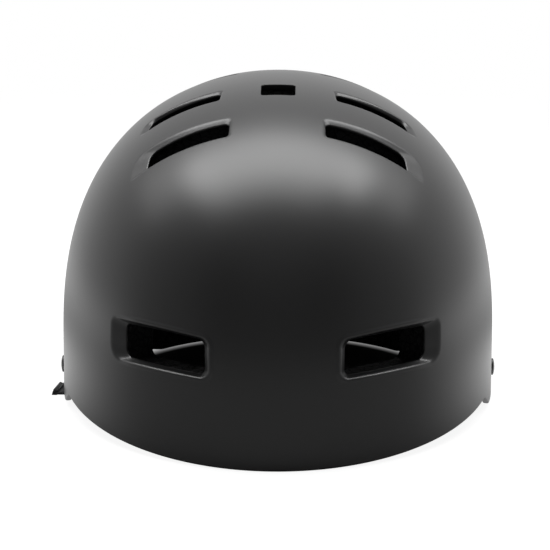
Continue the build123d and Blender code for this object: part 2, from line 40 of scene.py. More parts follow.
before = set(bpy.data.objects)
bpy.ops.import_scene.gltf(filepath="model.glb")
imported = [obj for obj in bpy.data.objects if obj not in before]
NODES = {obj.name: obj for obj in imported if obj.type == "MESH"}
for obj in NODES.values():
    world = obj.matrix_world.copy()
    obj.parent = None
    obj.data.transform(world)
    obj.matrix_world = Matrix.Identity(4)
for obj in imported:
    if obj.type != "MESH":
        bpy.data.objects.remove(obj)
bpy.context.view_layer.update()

MM = 0.001

# Outer form of the shell, in millimetres, as in the part's source
HALF_WIDTH = 107.0
FRONT_REACH = 145.0
REAR_REACH = 117.0
WIDEST_Y = 14.0
CROWN = 161.2
WALL_TOP = 30.7
HEIGHT_POWER = 2.479
WIDTH_POWER = 2.071
SHELL_WALL = 3.0
COLLAR_WALL = 2.2
MEAN_REACH = 119.0
RIM_ROUND = 0.9
RIM_STEPS = 5
RIM_COUNT = 720

# Rim line, seen from the side: y, z and the radius at each corner
RIM_LINE = (
    (-139.0, -0.73, 0.0),
    (-33.0, 8.9, 3.0),
    (-19.0, 2.2, 6.0),
    (21.0, 2.2, 6.0),
    (34.0, 13.0, 11.0),
    (58.0, 13.0, 11.0),
    (74.0, 0.0, 8.0),
    (139.0, 0.0, 0.0),
)

# Vents in their own frames: the recess and its hole, each as its corners from the one at +x +y
# anticlockwise, their radii and the bows of its edges at +y and -y, then the depth of the recess
# and the height of the bead round it
FRONT_VENT = {
    "recess": (((32.0, 11.4), (-29.5, 11.8), (-28.4, -7.9), (33.4, -9.7)),
               (8.5, 4.8, 5.0, 3.6), (-0.9, -1.4)),
    "hole": (((22.9, 8.3), (-24.3, 9.4), (-23.4, -6.1), (24.0, -6.6)),
             (5.0, 2.6, 3.9, 2.2), (0.0, -1.0)),
    "depth": 3.1, "bead": 0.5,
}
REAR_VENT = {
    "recess": (((26.0, 9.0), (-25.0, 9.2), (-24.5, -9.4), (26.5, -9.0)),
               (3.8, 4.6, 4.6, 7.5), (0.6, 0.6)),
    "hole": (((19.0, 5.8), (-18.4, 6.0), (-18.4, -7.2), (19.0, -6.8)),
             (2.4, 3.4, 2.6, 4.6), (0.5, 0.4)),
    "depth": 3.1, "bead": 0.5,
}
FIRST_SLOT = {
    "recess": (((28.6, 13.2), (-26.4, 7.1), (-25.0, -9.4), (28.0, -3.6)),
               (2.5, 2.6, 3.0, 8.5), (0.0, -1.0)),
    "hole": (((18.5, 10.6), (-24.0, 5.7), (-23.2, -5.8), (18.0, -0.9)),
             (2.0, 2.6, 2.8, 5.4), (0.0, -0.7)),
    "depth": 1.3, "bead": 0.0,
}
SECOND_SLOT = {
    "recess": (((23.5, 14.6), (-21.6, 9.3), (-19.8, -5.8), (22.4, 1.0)),
               (2.5, 2.5, 2.6, 7.0), (0.0, -0.4)),
    "hole": (((19.2, 12.2), (-19.4, 7.7), (-18.4, -2.6), (18.4, 1.7)),
             (2.0, 2.4, 2.5, 4.2), (0.0, -0.3)),
    "depth": 1.2, "bead": 0.0,
}
THIRD_SLOT = {
    "recess": (((27.0, 8.0), (-26.0, -2.5), (-25.0, -16.5), (26.0, -9.0)),
               (2.5, 2.5, 2.6, 7.0), (0.0, 0.0)),
    "hole": (((18.0, 5.2), (-23.0, -4.0), (-22.5, -13.4), (17.5, -6.2)),
             (2.0, 2.4, 2.5, 4.2), (0.0, 0.0)),
    "depth": 1.2, "bead": 0.0,
}
CENTRE_SLOT = ((8.2, 7.9), (-8.2, 7.9), (-8.2, -7.9), (8.2, -7.9))
FRONT_VENT_PLACE = (54.0, 52.5)
REAR_VENT_PLACE = (47.0, 66.0)
SLOT_PLACES = (
    (45.5, -52.5, 12.0, FIRST_SLOT),
    (45.5, -14.0, 14.0, SECOND_SLOT),
    (45.5, 24.5, 16.0, THIRD_SLOT),
)
CENTRE_SLOT_Y = -22.0
CORNER_STEPS = 9
LONG_STEPS = 34
SHORT_STEPS = 8
LEAST_RADIUS = 0.2
RECESS_GROWTH = 0.3
LIP_GROWTH = -0.8
LIP_BEAD = 0.9
LIP_ROUND = 1.6
HOLE_ROUND = 0.6
HOLE_WALL = 0.9
CENTRE_RADII = (1.7, 1.7, 1.7, 1.7)
DROP_REACH = 45.0
DROP_HALVINGS = 48

# Room left round rings of points, as a share of the mesh spacing, and above the rim
RING_ROOM = 0.6
RIM_ROOM = 0.8

# The bead round a vent: growth of the recess and share of the height at each ring, and the place
# along the vent where it ends and the length over which it fades
BEAD_RINGS = ((1.7, 0.0), (0.95, 0.55), (0.25, 1.0))
BEAD_END = 26.0
BEAD_FADE = 12.0

# Pads: plan angles from end to end, then low and high edge, on the foam's inner wall
PAD_BACK = 25.4
PAD_THICKNESS = 8.0
PAD_GAP = 0.15
WALL_PADS = {
    "brow_pad": (-123.0, -57.0, 15.0, 37.0),
    "side_pad_left": (194.0, 222.0, 30.0, 64.0),
    "side_pad_right": (-42.0, -14.0, 30.0, 64.0),
    "rear_pad": (54.0, 126.0, 16.0, 44.0),
}
# First y, last y and width
CROWN_PAD = (-6.0, 58.0, 34.0)

# Share of a pad's half size and of its thickness, over the pillow and round the sewn border
PILLOW_PROFILE = (
    (0.35, 0.0), (0.7, 0.0), (0.9, 0.0), (0.93, 0.03), (0.935, 0.25), (0.91, 0.48),
    (0.86, 0.66), (0.78, 0.78), (0.66, 0.85), (0.48, 0.89), (0.24, 0.9),
)
BORDER_PROFILE = (
    (0.9, 0.02), (0.975, 0.0), (1.0, 0.05), (1.0, 0.14),
    (0.99, 0.19), (0.96, 0.215), (0.92, 0.215), (0.9, 0.18),
)
STITCH_SHARE = 0.962
STITCH_RISE = 0.22
PAD_VOXEL = 0.0024
PAD_SWELL = 1.3
CLOTH_FRAMES = 20
CLOTH = {
    "use_pressure": True,
    "uniform_pressure_force": 4.0,
    "vertex_group_mass": "held",
    "quality": 6,
    "mass": 0.2,
    "tension_stiffness": 12,
    "compression_stiffness": 9,
    "bending_stiffness": 0.4,
}

# Webbing and its routes in the upright plane of the side rivets: x, z and the radius at each corner
STRAP_WIDTH = 16.0
STRAP_THICKNESS = 1.4
STRAP_Y = 8.0
ANCHOR_X = 102.69
STACK_X = 71.0
OUTER_STACK_X = 72.5
STRAP_LEFT = (
    (-ANCHOR_X, 22.5, 0.0),
    (-ANCHOR_X, 4.2, 3.0),
    (-STACK_X, 4.2, 3.0),
    (-STACK_X, 84.0, 0.735),
    (-OUTER_STACK_X, 84.0, 0.735),
    (-OUTER_STACK_X, 72.0, 0.0),
)
STRAP_RIGHT = (
    (-ANCHOR_X, 22.5, 0.0),
    (-ANCHOR_X, 4.2, 3.0),
    (-STACK_X, 4.2, 3.0),
    (-STACK_X, 84.0, 14.0),
    (-36.0, 113.0, 14.0),
    (-18.5, 113.0, 1.6),
    (-18.5, 119.0, 1.6),
    (-37.5, 119.0, 14.0),
    (-OUTER_STACK_X, 87.0, 14.0),
    (-OUTER_STACK_X, 72.0, 0.0),
)
CHIN_STRAP = (
    (-69.5, 73.5, 0.0),
    (-69.5, 87.0, 14.0),
    (-37.5, 119.0, 14.0),
    (-16.3, 119.0, 1.6),
    (-16.3, 113.0, 1.6),
    (-36.0, 113.0, 14.0),
    (-67.4, 82.5, 14.0),
    (-67.4, 0.8, 3.0),
    (-110.9, 0.8, 1.4),
    (-108.4, 9.2, 0.76),
    (-109.4, 2.3, 0.0),
)
LOOSE_END_TWIST = 8.0
LOOSE_END_LENGTH = 17.0

# The run to the rear rivet: share of its length against share of the way back to the rivet, and
# its profile as distance inside the dome, z and the radius at each corner
REAR_ROUTE = (
    (0.0, 1.045), (0.07, 1.0), (0.152, 0.928), (0.167, 0.915), (0.181, 0.9), (0.196, 0.882),
    (0.27, 0.77), (0.344, 0.658), (0.359, 0.638), (0.373, 0.62), (0.388, 0.603), (0.437, 0.53),
    (0.493, 0.441), (0.549, 0.347), (0.605, 0.25), (0.661, 0.158), (0.717, 0.08), (0.772, 0.033),
    (0.828, 0.01), (0.884, 0.002), (0.94, 0.0), (1.0, 0.0),
)
REAR_PROFILE = ((4.45, 22.5, 0.0), (4.45, 3.2, 3.0), (26.2, 3.2, 3.0), (26.2, 72.0, 0.0))
REAR_STATIONS = 150

# Box stitches where the webbing is sewn: x, low and high z, and the way that they face
STITCH_BOXES = ((-68.72, 74.6, 82.0, 1), (73.28, 73.2, 82.0, 1))
STITCH_HALF_WIDTH = 5.6

# Rivets, as y and z, and their grip below the surface
REAR_RIVET = (84.0, 15.0)
SIDE_RIVET = (8.0, 14.3)
RIVET_GRIP = 6.65
RIVET_LIFT = 0.05

# CAD node, its dressed piece, its body and the radius of its edges, in metres
BUCKLE_PIECES = (
    ("buckle_socket", "socket_shell", "helmet", 0.0005),
    ("buckle_plug", "plug_frame", "helmet", 0.0004),
    ("buckle_arm_front", "front_prong", "front_arm", 0.0004),
    ("buckle_arm_rear", "rear_prong", "rear_arm", 0.0004),
    ("divider_left", "left_slide", "left_divider", 0.0005),
    ("divider_right", "right_slide", "right_divider", 0.0005),
)

# The photograph's view, in metres and degrees
VIEW_MIDDLE = (0.0, 0.0, 0.08)
VIEW_LENS = 172.5
VIEW_SHIFT = (-0.0055, -0.064)
VIEW_TURN = 0.6
VIEW_ROLL = 0.25

# Lamps: name, setting of its power, place, size and target, in metres
LAMPS = (
    ("overhead_lamp", "overhead", (0, 0.2, 1.15), (1.8, 0.5), (0, 0, 0.09)),
    ("front_lamp", "front", (-0.15, -0.14, 1.15), (1.2, 0.3), (-0.15, 0, 0.09)),
    ("wing_lamp", "wings", (-0.85, 0.35, 0.95), (0.5, 0.7), (0, 0, 0.09)),
    ("wing_lamp", "wings", (0.85, 0.35, 0.95), (0.5, 0.7), (0, 0, 0.09)),
)
ROOM_BASE = 0.04
FLOOR_GREY = (0.25, 0.25, 0.25, 1)
FLOOR_GLOW = 0.9
WHITE = (1, 1, 1, 1)
FLOOR_RADIUS = 1.3
FLOOR_SIDES = 96


def maths(operation, swapped=False):
    """An operator that adds a Math node; swapped puts the other value first."""
    def operator(self, other):
        made = self.socket.id_data.nodes.new("ShaderNodeMath")
        made.operation = operation
        for place, value in enumerate((other, self) if swapped else (self, other)):
            if isinstance(value, Wire):
                self.socket.id_data.links.new(value.socket, made.inputs[place])
            else:
                made.inputs[place].default_value = value
        return Wire(made.outputs[0])
    return operator


class Wire:
    """An output socket; arithmetic on it adds Math nodes to its tree."""

    def __init__(self, socket):
        self.socket = socket

    __add__ = maths("ADD")
    __radd__ = maths("ADD", swapped=True)
    __sub__ = maths("SUBTRACT")
    __rsub__ = maths("SUBTRACT", swapped=True)
    __mul__ = maths("MULTIPLY")
    __rmul__ = maths("MULTIPLY", swapped=True)
    __truediv__ = maths("DIVIDE")
    __pow__ = maths("POWER")
    __gt__ = maths("GREATER_THAN")


class Tree:
    """A node tree that nodes are added to by type, settings and values."""

    def __init__(self, tree):
        self.tree = tree

    def node(self, kind, settings=None, values=None, out=0):
        made = self.tree.nodes.new(kind)
        for name, value in (settings or {}).items():
            setattr(made, name, value)
        for name, value in (values or {}).items():
            if isinstance(value, Wire):
                self.tree.links.new(value.socket, made.inputs[name])
            else:
                made.inputs[name].default_value = value
        return made if out is None else Wire(made.outputs[out])

    def wires(self, kind, **values):
        """Every output of a node."""
        return [Wire(socket) for socket in self.node(kind, values=values, out=None).outputs]

    def coordinates(self, source="Object"):
        return self.node("ShaderNodeTexCoord", out=source)

    def noise(self, scale, detail=2.0):
        values = {"Vector": self.coordinates(), "Scale": scale, "Detail": detail}
        return self.node("ShaderNodeTexNoise", values=values, out="Fac")

    def cells(self, scale, out="Distance", feature="F1", **values):
        values = {"Vector": self.coordinates(), "Scale": scale, **values}
        return self.node("ShaderNodeTexVoronoi", {"feature": feature}, values, out=out)

    def ease(self, value, low, high, share=1.0):
        """From 0 to a share, smoothly, as a value goes from low to high."""
        values = {"Value": value, 1: low, 2: high, 4: share}
        return self.node("ShaderNodeMapRange", {"interpolation_type": "SMOOTHSTEP"}, values)

    def one_value(self, operation, value):
        """A Math node with a single input."""
        return self.node("ShaderNodeMath", {"operation": operation}, {0: value})

    def rays(self):
        """Masks of the camera's rays, straight or through glass, and of glossy ones."""
        path = self.node("ShaderNodeLightPath", out=None).outputs
        seen = Wire(path["Is Camera Ray"]) + Wire(path["Is Transmission Ray"])
        return seen, Wire(path["Is Glossy Ray"])

    def bump(self, height, strength, distance):
        values = {"Height": height, "Strength": strength, "Distance": distance}
        return self.node("ShaderNodeBump", values=values, out="Normal")

    def blend_colour(self, factor, first, second):
        """A colour between two, by a factor."""
        values = {"Factor": factor, 6: (*first, 1), 7: (*second, 1)}
        return self.node("ShaderNodeMix", {"data_type": "RGBA"}, values, out=2)


def cleared(owner):
    """A Tree for a material or a world, without its first nodes."""
    owner.use_nodes = True
    owner.node_tree.nodes.clear()
    return Tree(owner.node_tree)


def new_material(name, **plain):
    """The tree of a material whose shader gets the plain numbers, and a way to finish it."""
    material = bpy.data.materials.new(name)
    tree = cleared(material)

    def finish(**wired):
        values = {key.replace("_", " "): value for key, value in {**plain, **wired}.items()}
        shader = tree.node("ShaderNodeBsdfPrincipled", values=values)
        tree.node("ShaderNodeOutputMaterial", values={"Surface": shader}, out=None)
        return material

    return tree, finish


def shell_material():
    """Satin charcoal plastic with a very fine moulded grain and faint handling marks."""
    look = bpy.context.scene.helmet_shell
    tree, finish = new_material("shell_satin", Specular_IOR_Level=look.gloss)
    grain = tree.noise(2600.0, 3.0)
    pores = tree.noise(900.0, 2.0)
    smudge = tree.noise(26.0, 4.0)
    rough = look.roughness + (smudge - 0.5) * 0.012 + (grain - 0.5) * 0.08
    shade = tuple(look.colour)
    light = tuple(channel * 1.25 for channel in shade)
    colour = tree.blend_colour(smudge * 0.3 + pores * 0.7, shade, light)
    normal = tree.bump(grain * 0.7 + pores * 0.5, look.grain, 0.00004)
    return finish(Base_Color=colour, Roughness=rough, Normal=normal)


def foam_material():
    """Black moulded bead foam: rounded cells with fine pits between them, with painted shade that
    darkens the colour into those pits.
    """
    tree, finish = new_material("bead_foam", Specular_IOR_Level=0.35)
    beads = 290.0
    bead_rise_and_pit_shade = tree.ease(tree.cells(beads, feature="DISTANCE_TO_EDGE"), 0.0, 0.16)
    tone = tree.node("ShaderNodeSeparateColor", values={"Color": tree.cells(beads, out="Color")})
    # Painted shade: the colour darkens into the pits between the beads, over a tone that differs
    # from bead to bead
    shade = bead_rise_and_pit_shade * (0.55 + tone * 0.45)
    colour = tree.blend_colour(shade, (0.006, 0.006, 0.007), (0.034, 0.034, 0.036))
    skin = tree.noise(2200.0, 2.0)
    normal = tree.bump(bead_rise_and_pit_shade + skin * 0.12, 0.75, 0.0003)
    rough = 0.62 - bead_rise_and_pit_shade * 0.1 + tone * 0.06
    return finish(Base_Color=colour, Roughness=rough, Normal=normal)


def pad_material():
    """Brushed black cloth over soft foam: fine knit, lint and a soft sheen."""
    tree, finish = new_material(
        "brushed_cloth", Sheen_Weight=0.35, Sheen_Roughness=0.5, Specular_IOR_Level=0.2
    )
    knit = tree.cells(1500.0)
    fuzz = tree.noise(3200.0, 3.0)
    patches = tree.noise(90.0, 3.0)
    shade = patches * 0.6 + fuzz * 0.4
    colour = tree.blend_colour(shade, (0.012, 0.012, 0.014), (0.05, 0.05, 0.054))
    normal = tree.bump(knit * 0.8 + fuzz * 0.6 + patches * 0.5, 0.6, 0.00022)
    rough = 0.86 + (fuzz - 0.5) * 0.1
    return finish(Base_Color=colour, Roughness=rough, Normal=normal)


def hook_material():
    """Hook tape: a dense field of tiny hooks."""
    tree, finish = new_material("hook_tape", Specular_IOR_Level=0.3)
    hooks = tree.cells(1300.0, Randomness=0.25)
    colour = tree.blend_colour(hooks, (0.05, 0.05, 0.05), (0.008, 0.008, 0.008))
    normal = tree.bump(hooks, 0.8, 0.0004)
    return finish(Base_Color=colour, Roughness=0.7 + hooks * 0.1, Normal=normal)


def webbing_material():
    """Woven black webbing: ribs crossed by fine picks, from its own UV in metres."""
    look = bpy.context.scene.helmet_webbing
    tree, finish = new_material(
        "woven_webbing", Sheen_Weight=0.25, Sheen_Roughness=0.4, Specular_IOR_Level=0.3
    )
    place = tree.node("ShaderNodeUVMap", {"uv_map": "weave"})
    across, along, _ = tree.wires("ShaderNodeSeparateXYZ", Vector=place)
    turn = 2 * pi
    rib = tree.one_value("SINE", across / look.rib_pitch * turn)
    slant = along / look.pick_pitch + across / look.rib_pitch * 0.5
    pick = tree.one_value("SINE", slant * turn)
    lint = tree.noise(2400.0, 2.0)
    weave = rib * 0.35 + pick * 0.3 + rib * pick * 0.35
    colour = tree.blend_colour(weave * 0.5 + 0.5, (0.006, 0.006, 0.007), (0.03, 0.03, 0.032))
    normal = tree.bump(weave * 0.5 + lint * 0.3, 0.9, 0.00025)
    return finish(Base_Color=colour, Roughness=0.72 - weave * 0.08, Normal=normal)


def speckled_material(name, gloss, noise, colours, roughness, spread, bump):
    """One fine noise that varies the colour, roughness and surface."""
    tree, finish = new_material(name, Specular_IOR_Level=gloss)
    speck = tree.noise(*noise)
    colour = tree.blend_colour(speck, *colours)
    rough = roughness + speck * spread
    return finish(Base_Color=colour, Roughness=rough, Normal=tree.bump(speck, *bump))


def thread_material():
    colours = ((0.02, 0.02, 0.022), (0.06, 0.06, 0.064))
    noise, bump = (4200.0, 1.0), (0.4, 0.0001)
    return speckled_material("bonded_thread", 0.4, noise, colours, 0.5, 0.1, bump)


def rubber_material():
    colours = ((0.01, 0.01, 0.01), (0.026, 0.026, 0.026))
    noise, bump = (700.0, 3.0), (0.3, 0.00008)
    return speckled_material("keeper_rubber", 0.35, noise, colours, 0.66, 0.14, bump)


def plastic_material():
    """Black moulded acetal with a fine spark-eroded grain."""
    tree, finish = new_material("buckle_acetal", Specular_IOR_Level=0.5)
    grain = tree.noise(2100.0, 3.0)
    wear = tree.noise(120.0, 3.0)
    colour = tree.blend_colour(wear, (0.012, 0.012, 0.013), (0.022, 0.022, 0.023))
    rough = 0.36 + (grain - 0.5) * 0.15 + (wear - 0.5) * 0.1
    return finish(Base_Color=colour, Roughness=rough, Normal=tree.bump(grain, 0.25, 0.00006))


def rivet_material():
    """Black painted metal with lighter patches: partly wear rubbed on its crown, partly a painted
    reflection of the white room.
    """
    tree, finish = new_material("rivet_paint", Specular_IOR_Level=0.9)
    speckle = tree.noise(1600.0, 3.0)
    scuff_and_reflection_noise = tree.noise(420.0, 4.0)
    # Lighter patches: partly rubbed wear, partly a painted reflection of the white room
    rubbed_and_painted_reflection = tree.node("ShaderNodeMapRange", values={"Value": scuff_and_reflection_noise, 1: 0.62, 2: 0.72})
    colour = tree.blend_colour(rubbed_and_painted_reflection * 0.5, (0.02, 0.02, 0.021), (0.16, 0.16, 0.165))
    rough = 0.33 + speckle * 0.12
    return finish(Base_Color=colour, Roughness=rough, Normal=tree.bump(speckle, 0.15, 0.00005))


def steel_material():
    tree, finish = new_material("plated_steel", Metallic=1.0)
    brushed = tree.noise(1800.0, 2.0)
    colour = tree.blend_colour(brushed, (0.42, 0.42, 0.43), (0.6, 0.6, 0.61))
    return finish(Base_Color=colour, Roughness=0.32 + brushed * 0.15)


def unit(vectors):
    return vectors / np.linalg.norm(vectors, axis=1)[:, None]


def run_of(points):
    """Length along a line, at each of its points."""
    return np.concatenate([[0], np.cumsum(np.linalg.norm(np.diff(points, axis=0), axis=1))])


def radial_share(z, inset=0.0):
    """Share of the full width that the dome keeps at a height."""
    rise = np.clip((z - WALL_TOP) / (CROWN - inset - WALL_TOP), 0.0, 1.0)
    return (1 - rise ** HEIGHT_POWER) ** (1 / WIDTH_POWER)


def reach_at(y, inset=0.0):
    return np.where(np.asarray(y) < WIDEST_Y, FRONT_REACH, REAR_REACH) - inset


def side_x(y, inset=0.0):
    """Half width of the dome's upright wall at a place along its length."""
    along = (y - WIDEST_Y) / reach_at(y, inset)
    return (HALF_WIDTH - inset) * np.sqrt(np.maximum(0.0, 1 - along ** 2))


def level(points, inset=0.0):
    """Below zero inside the dome, above zero outside it."""
    across = points[:, 0] / (HALF_WIDTH - inset)
    along = (points[:, 1] - WIDEST_Y) / reach_at(points[:, 1], inset)
    return across ** 2 + along ** 2 - radial_share(points[:, 2], inset) ** 2


def outward(points, inset=0.0):
    """Unit normals of the dome, from the slopes of its level."""
    step = 0.05
    slopes = []
    for way in np.eye(3) * step:
        slopes.append(level(points + way, inset) - level(points - way, inset))
    return unit(np.array(slopes).T)


def top_z(x, y, inset=0.0):
    """Height of the dome over a point of its plan."""
    radial = np.hypot(x / (HALF_WIDTH - inset), (y - WIDEST_Y) / reach_at(y, inset))
    rise = (1 - radial ** WIDTH_POWER) ** (1 / HEIGHT_POWER)
    return WALL_TOP + (CROWN - inset - WALL_TOP) * rise


def end_y(x, z, side):
    """Where the front (side -1) or back (side 1) of the dome is, at a width and a height."""
    across = x / HALF_WIDTH
    reach = FRONT_REACH if side < 0 else REAR_REACH
    return WIDEST_Y + side * reach * sqrt(float(radial_share(z)) ** 2 - across ** 2)


def dome_points(turn, z, inset=0.0):
    """Points of the dome at plan angles and heights."""
    share = radial_share(z, inset)
    reach = np.where(np.sin(turn) < 0, FRONT_REACH, REAR_REACH) - inset
    x = (HALF_WIDTH - inset) * share * np.cos(turn)
    y = WIDEST_Y + reach * share * np.sin(turn)
    return np.stack([x, y, z + 0 * x], axis=1)


class Place:
    """A frame on the dome: x along a vent, z outwards."""

    def __init__(self, point, long_way):
        self.origin = np.array(point, float)
        self.z = outward(self.origin[None])[0]
        flat = np.array(long_way) - self.z * np.dot(long_way, self.z)
        self.x = flat / np.linalg.norm(flat)
        self.y = np.cross(self.z, self.x)

    def on_dome(self, plan, inset=0.0, depth=0.0):
        """Plan points dropped along the frame onto the dome, then sunk by a depth."""
        start = self.origin + plan[:, :1] * self.x + plan[:, 1:] * self.y
        low = np.full(len(plan), -DROP_REACH)
        high = np.full(len(plan), DROP_REACH)
        for _ in range(DROP_HALVINGS):
            middle = (low + high) / 2
            outside = level(start - middle[:, None] * self.z, inset) > 0
            low = np.where(outside, middle, low)
            high = np.where(outside, high, middle)
        return start - (low + depth)[:, None] * self.z


def vent_places():
    """Frame and sizes of each vent on the left side."""
    places = []
    ends = ((FRONT_VENT_PLACE, FRONT_VENT, -1), (REAR_VENT_PLACE, REAR_VENT, 1))
    for (x, z), sizes, side in ends:
        point = (-x, end_y(x, z, side), z)
        along = np.cross((0, 0, 1), outward(np.array([point]))[0])
        places.append((Place(point, along * side), sizes))
    for x, y, turn, sizes in SLOT_PLACES:
        angle = radians(turn)
        place = Place((-x, y, top_z(x, y)), (-cos(angle), sin(angle), -sin(angle)))
        places.append((place, sizes))
    return places


def outline(corners, radii, bows=(0.0, 0.0), grow=0.0):
    """Rounded four-sided outline, anticlockwise, with the same count of points for any size."""
    corners = np.array(corners)
    ahead = unit(np.roll(corners, -1, axis=0) - corners)
    away = np.stack([ahead[:, 1], -ahead[:, 0]], axis=1)
    points = []
    for k in range(4):
        before, after = away[k - 1], away[k]
        spread = (before + after) / (1 + before @ after)
        radius = max(LEAST_RADIUS, radii[k] + grow)
        hub = corners[k] + spread * (grow - radius)
        first = atan2(before[1], before[0])
        sweep = (atan2(after[1], after[0]) - first) % (2 * pi)
        for step in range(CORNER_STEPS + 1):
            angle = first + sweep * step / CORNER_STEPS
            points.append(hub + radius * np.array((cos(angle), sin(angle))))
    arcs = np.array(points).reshape(4, CORNER_STEPS + 1, 2)
    filled = []
    for k in range(4):
        filled.append(arcs[k])
        count = (LONG_STEPS, SHORT_STEPS)[k % 2]
        shares = np.arange(1, count)[:, None] / count
        filled.append(arcs[k][-1] * (1 - shares) + arcs[(k + 1) % 4][0] * shares)
    points = np.concatenate(filled)
    middle = points.mean(axis=0)
    along = (points[:, 0] - middle[0]) / np.abs(points[:, 0] - middle[0]).max()
    bow = np.where(points[:, 1] > middle[1], *bows)
    points[:, 1] += bow * (1 - along ** 2)
    return points


def short_of(corner, toward, radius):
    """The ring a radius away from a corner, on the way to another ring."""
    way = toward - corner
    length = np.linalg.norm(way, axis=1)[:, None]
    return corner + way / length * np.minimum(radius, length * 0.48)


def rounded(start, corner, after, radius, steps=5):
    """Rings from a start ring, round a corner, to a radius along the way to the next ring."""
    end = short_of(corner, after, radius)
    rings = []
    for step in range(1, steps + 1):
        share = step / steps
        there = start * (1 - share) ** 2 + corner * 2 * share * (1 - share) + end * share ** 2
        rings.append(there)
    return rings


def vent_rings(place, sizes):
    """Rings of a vent, from the outer dome, down its recess and collar, to the inner dome."""
    recess, hole = sizes["recess"], sizes["hole"]
    below = sizes["depth"] + HOLE_WALL
    start = outline(*recess, grow=RECESS_GROWTH)
    share = np.clip((BEAD_END - start[:, 0]) / BEAD_FADE, 0.0, 1.0)
    bead = sizes["bead"] * share * share * (3 - 2 * share)
    if sizes["bead"]:
        outer, slope, crest = (
            place.on_dome(outline(*recess, grow=grow), depth=-bead * high)
            for grow, high in BEAD_RINGS
        )
        rings = [outer] + rounded(outer, slope, crest, 0.3, 2) + [crest]
    else:
        rings = [place.on_dome(start)]
    lip = place.on_dome(outline(*recess, grow=LIP_GROWTH), depth=-bead * LIP_BEAD)
    floor = place.on_dome(outline(*hole), depth=sizes["depth"])
    back = place.on_dome(outline(*hole), depth=below)
    collar = place.on_dome(outline(*hole, grow=COLLAR_WALL), depth=below)
    foot = place.on_dome(outline(*recess, grow=COLLAR_WALL), inset=SHELL_WALL)
    rings += rounded(rings[-1], lip, floor, LIP_ROUND)
    edge = short_of(floor, lip, HOLE_ROUND)
    last = rings[-1]
    rings += [last * (1 - share) + edge * share for share in (0.35, 0.7)]
    rings += [edge] + rounded(edge, floor, back, HOLE_ROUND, 4)
    return rings + [back, collar, foot]


def centre_slot_rings():
    """Rings of the small slot on the centre line, which has no recess."""
    point = (0.0, CENTRE_SLOT_Y, top_z(0, CENTRE_SLOT_Y))
    place = Place(point, (1, 0, 0))
    slot = (CENTRE_SLOT, CENTRE_RADII)
    outer = place.on_dome(outline(*slot, grow=0.5))
    lip = place.on_dome(outline(*slot))
    low = place.on_dome(outline(*slot), inset=SHELL_WALL)
    inner = place.on_dome(outline(*slot, grow=0.7), inset=SHELL_WALL)
    edge = short_of(low, lip, 0.5)
    wall = rounded(outer, lip, low, 0.6) + [edge] + rounded(edge, low, inner, 0.4, 3)
    return [outer] + wall + [inner]


def mirrored(rings):
    """The same rings on the other side, still anticlockwise."""
    return [(ring * (-1, 1, 1))[::-1] for ring in rings]


def round_corners(route, spacing=1.0, turn_step=9.0):
    """A route's straight runs and corner arcs as points in its plane."""
    points = []
    for place, (x, z, radius) in enumerate(route):
        here = Vector((x, z))
        if radius == 0:
            points.append(here)
            continue
        before = Vector(route[place - 1][:2]) - here
        after = Vector(route[place + 1][:2]) - here
        bend = before.angle(after)
        reach = radius / tan(bend / 2)
        start = here + before.normalized() * reach
        end = here + after.normalized() * reach
        middle = (before.normalized() + after.normalized()).normalized()
        hub = here + middle * (radius / sin(bend / 2))
        first = atan2(start.y - hub.y, start.x - hub.x)
        sweep = atan2(end.y - hub.y, end.x - hub.x) - first
        sweep = (sweep + pi) % (2 * pi) - pi
        steps = max(2, int(abs(sweep) / radians(turn_step)))
        for step in range(steps + 1):
            angle = first + sweep * step / steps
            points.append(hub + Vector((cos(angle), sin(angle))) * radius)
    filled = [points[0]]
    for point in points[1:]:
        gap = (point - filled[-1]).length
        if gap < 1e-6:
            continue
        start = filled[-1]
        count = int(gap / spacing)
        for step in range(1, count + 1):
            filled.append(start.lerp(point, step / (count + 1)))
        filled.append(point)
    return np.array([tuple(point) for point in filled])


def rim_height(y):
    line = round_corners(RIM_LINE, spacing=4.0)
    return np.interp(y, line[:, 0], line[:, 1])


def rim_rings():
    """Rings of the shell's rounded lower edge, from the outer to the inner dome."""
    turn = np.linspace(-pi, pi, RIM_COUNT, endpoint=False)
    edge = rim_height(dome_points(turn, np.zeros(RIM_COUNT))[:, 1])
    rises = []
    for step in range(RIM_STEPS + 1):
        angle = pi / 2 * step / RIM_STEPS
        rises.append((RIM_ROUND * (1 - sin(angle)), RIM_ROUND * (1 - cos(angle))))
    rings = [dome_points(turn, edge + low, inset) for low, inset in rises]
    return rings + [dome_points(turn, edge + low, SHELL_WALL - inset) for inset, low in rises]


def meridian(inset):
    """Height and length from the crown, down a mean meridian of the dome."""
    share = np.sin(np.linspace(pi / 2, 0, 400))
    radius = (MEAN_REACH - inset) * (1 - share ** HEIGHT_POWER) ** (1 / WIDTH_POWER)
    z = WALL_TOP + (CROWN - inset - WALL_TOP) * share
    return z, run_of(np.stack([radius, z], axis=1))


def flattened(points, inset):
    """The dome spread out in its plan angle and length from the crown."""
    z, run = meridian(inset)
    reach = reach_at(points[:, 1], inset)
    turn = np.arctan2((points[:, 1] - WIDEST_Y) / reach, points[:, 0] / (HALF_WIDTH - inset))
    length = np.interp(-points[:, 2], -z, run)
    length = np.where(points[:, 2] < WALL_TOP, run[-1] + WALL_TOP - points[:, 2], length)
    return turn, length


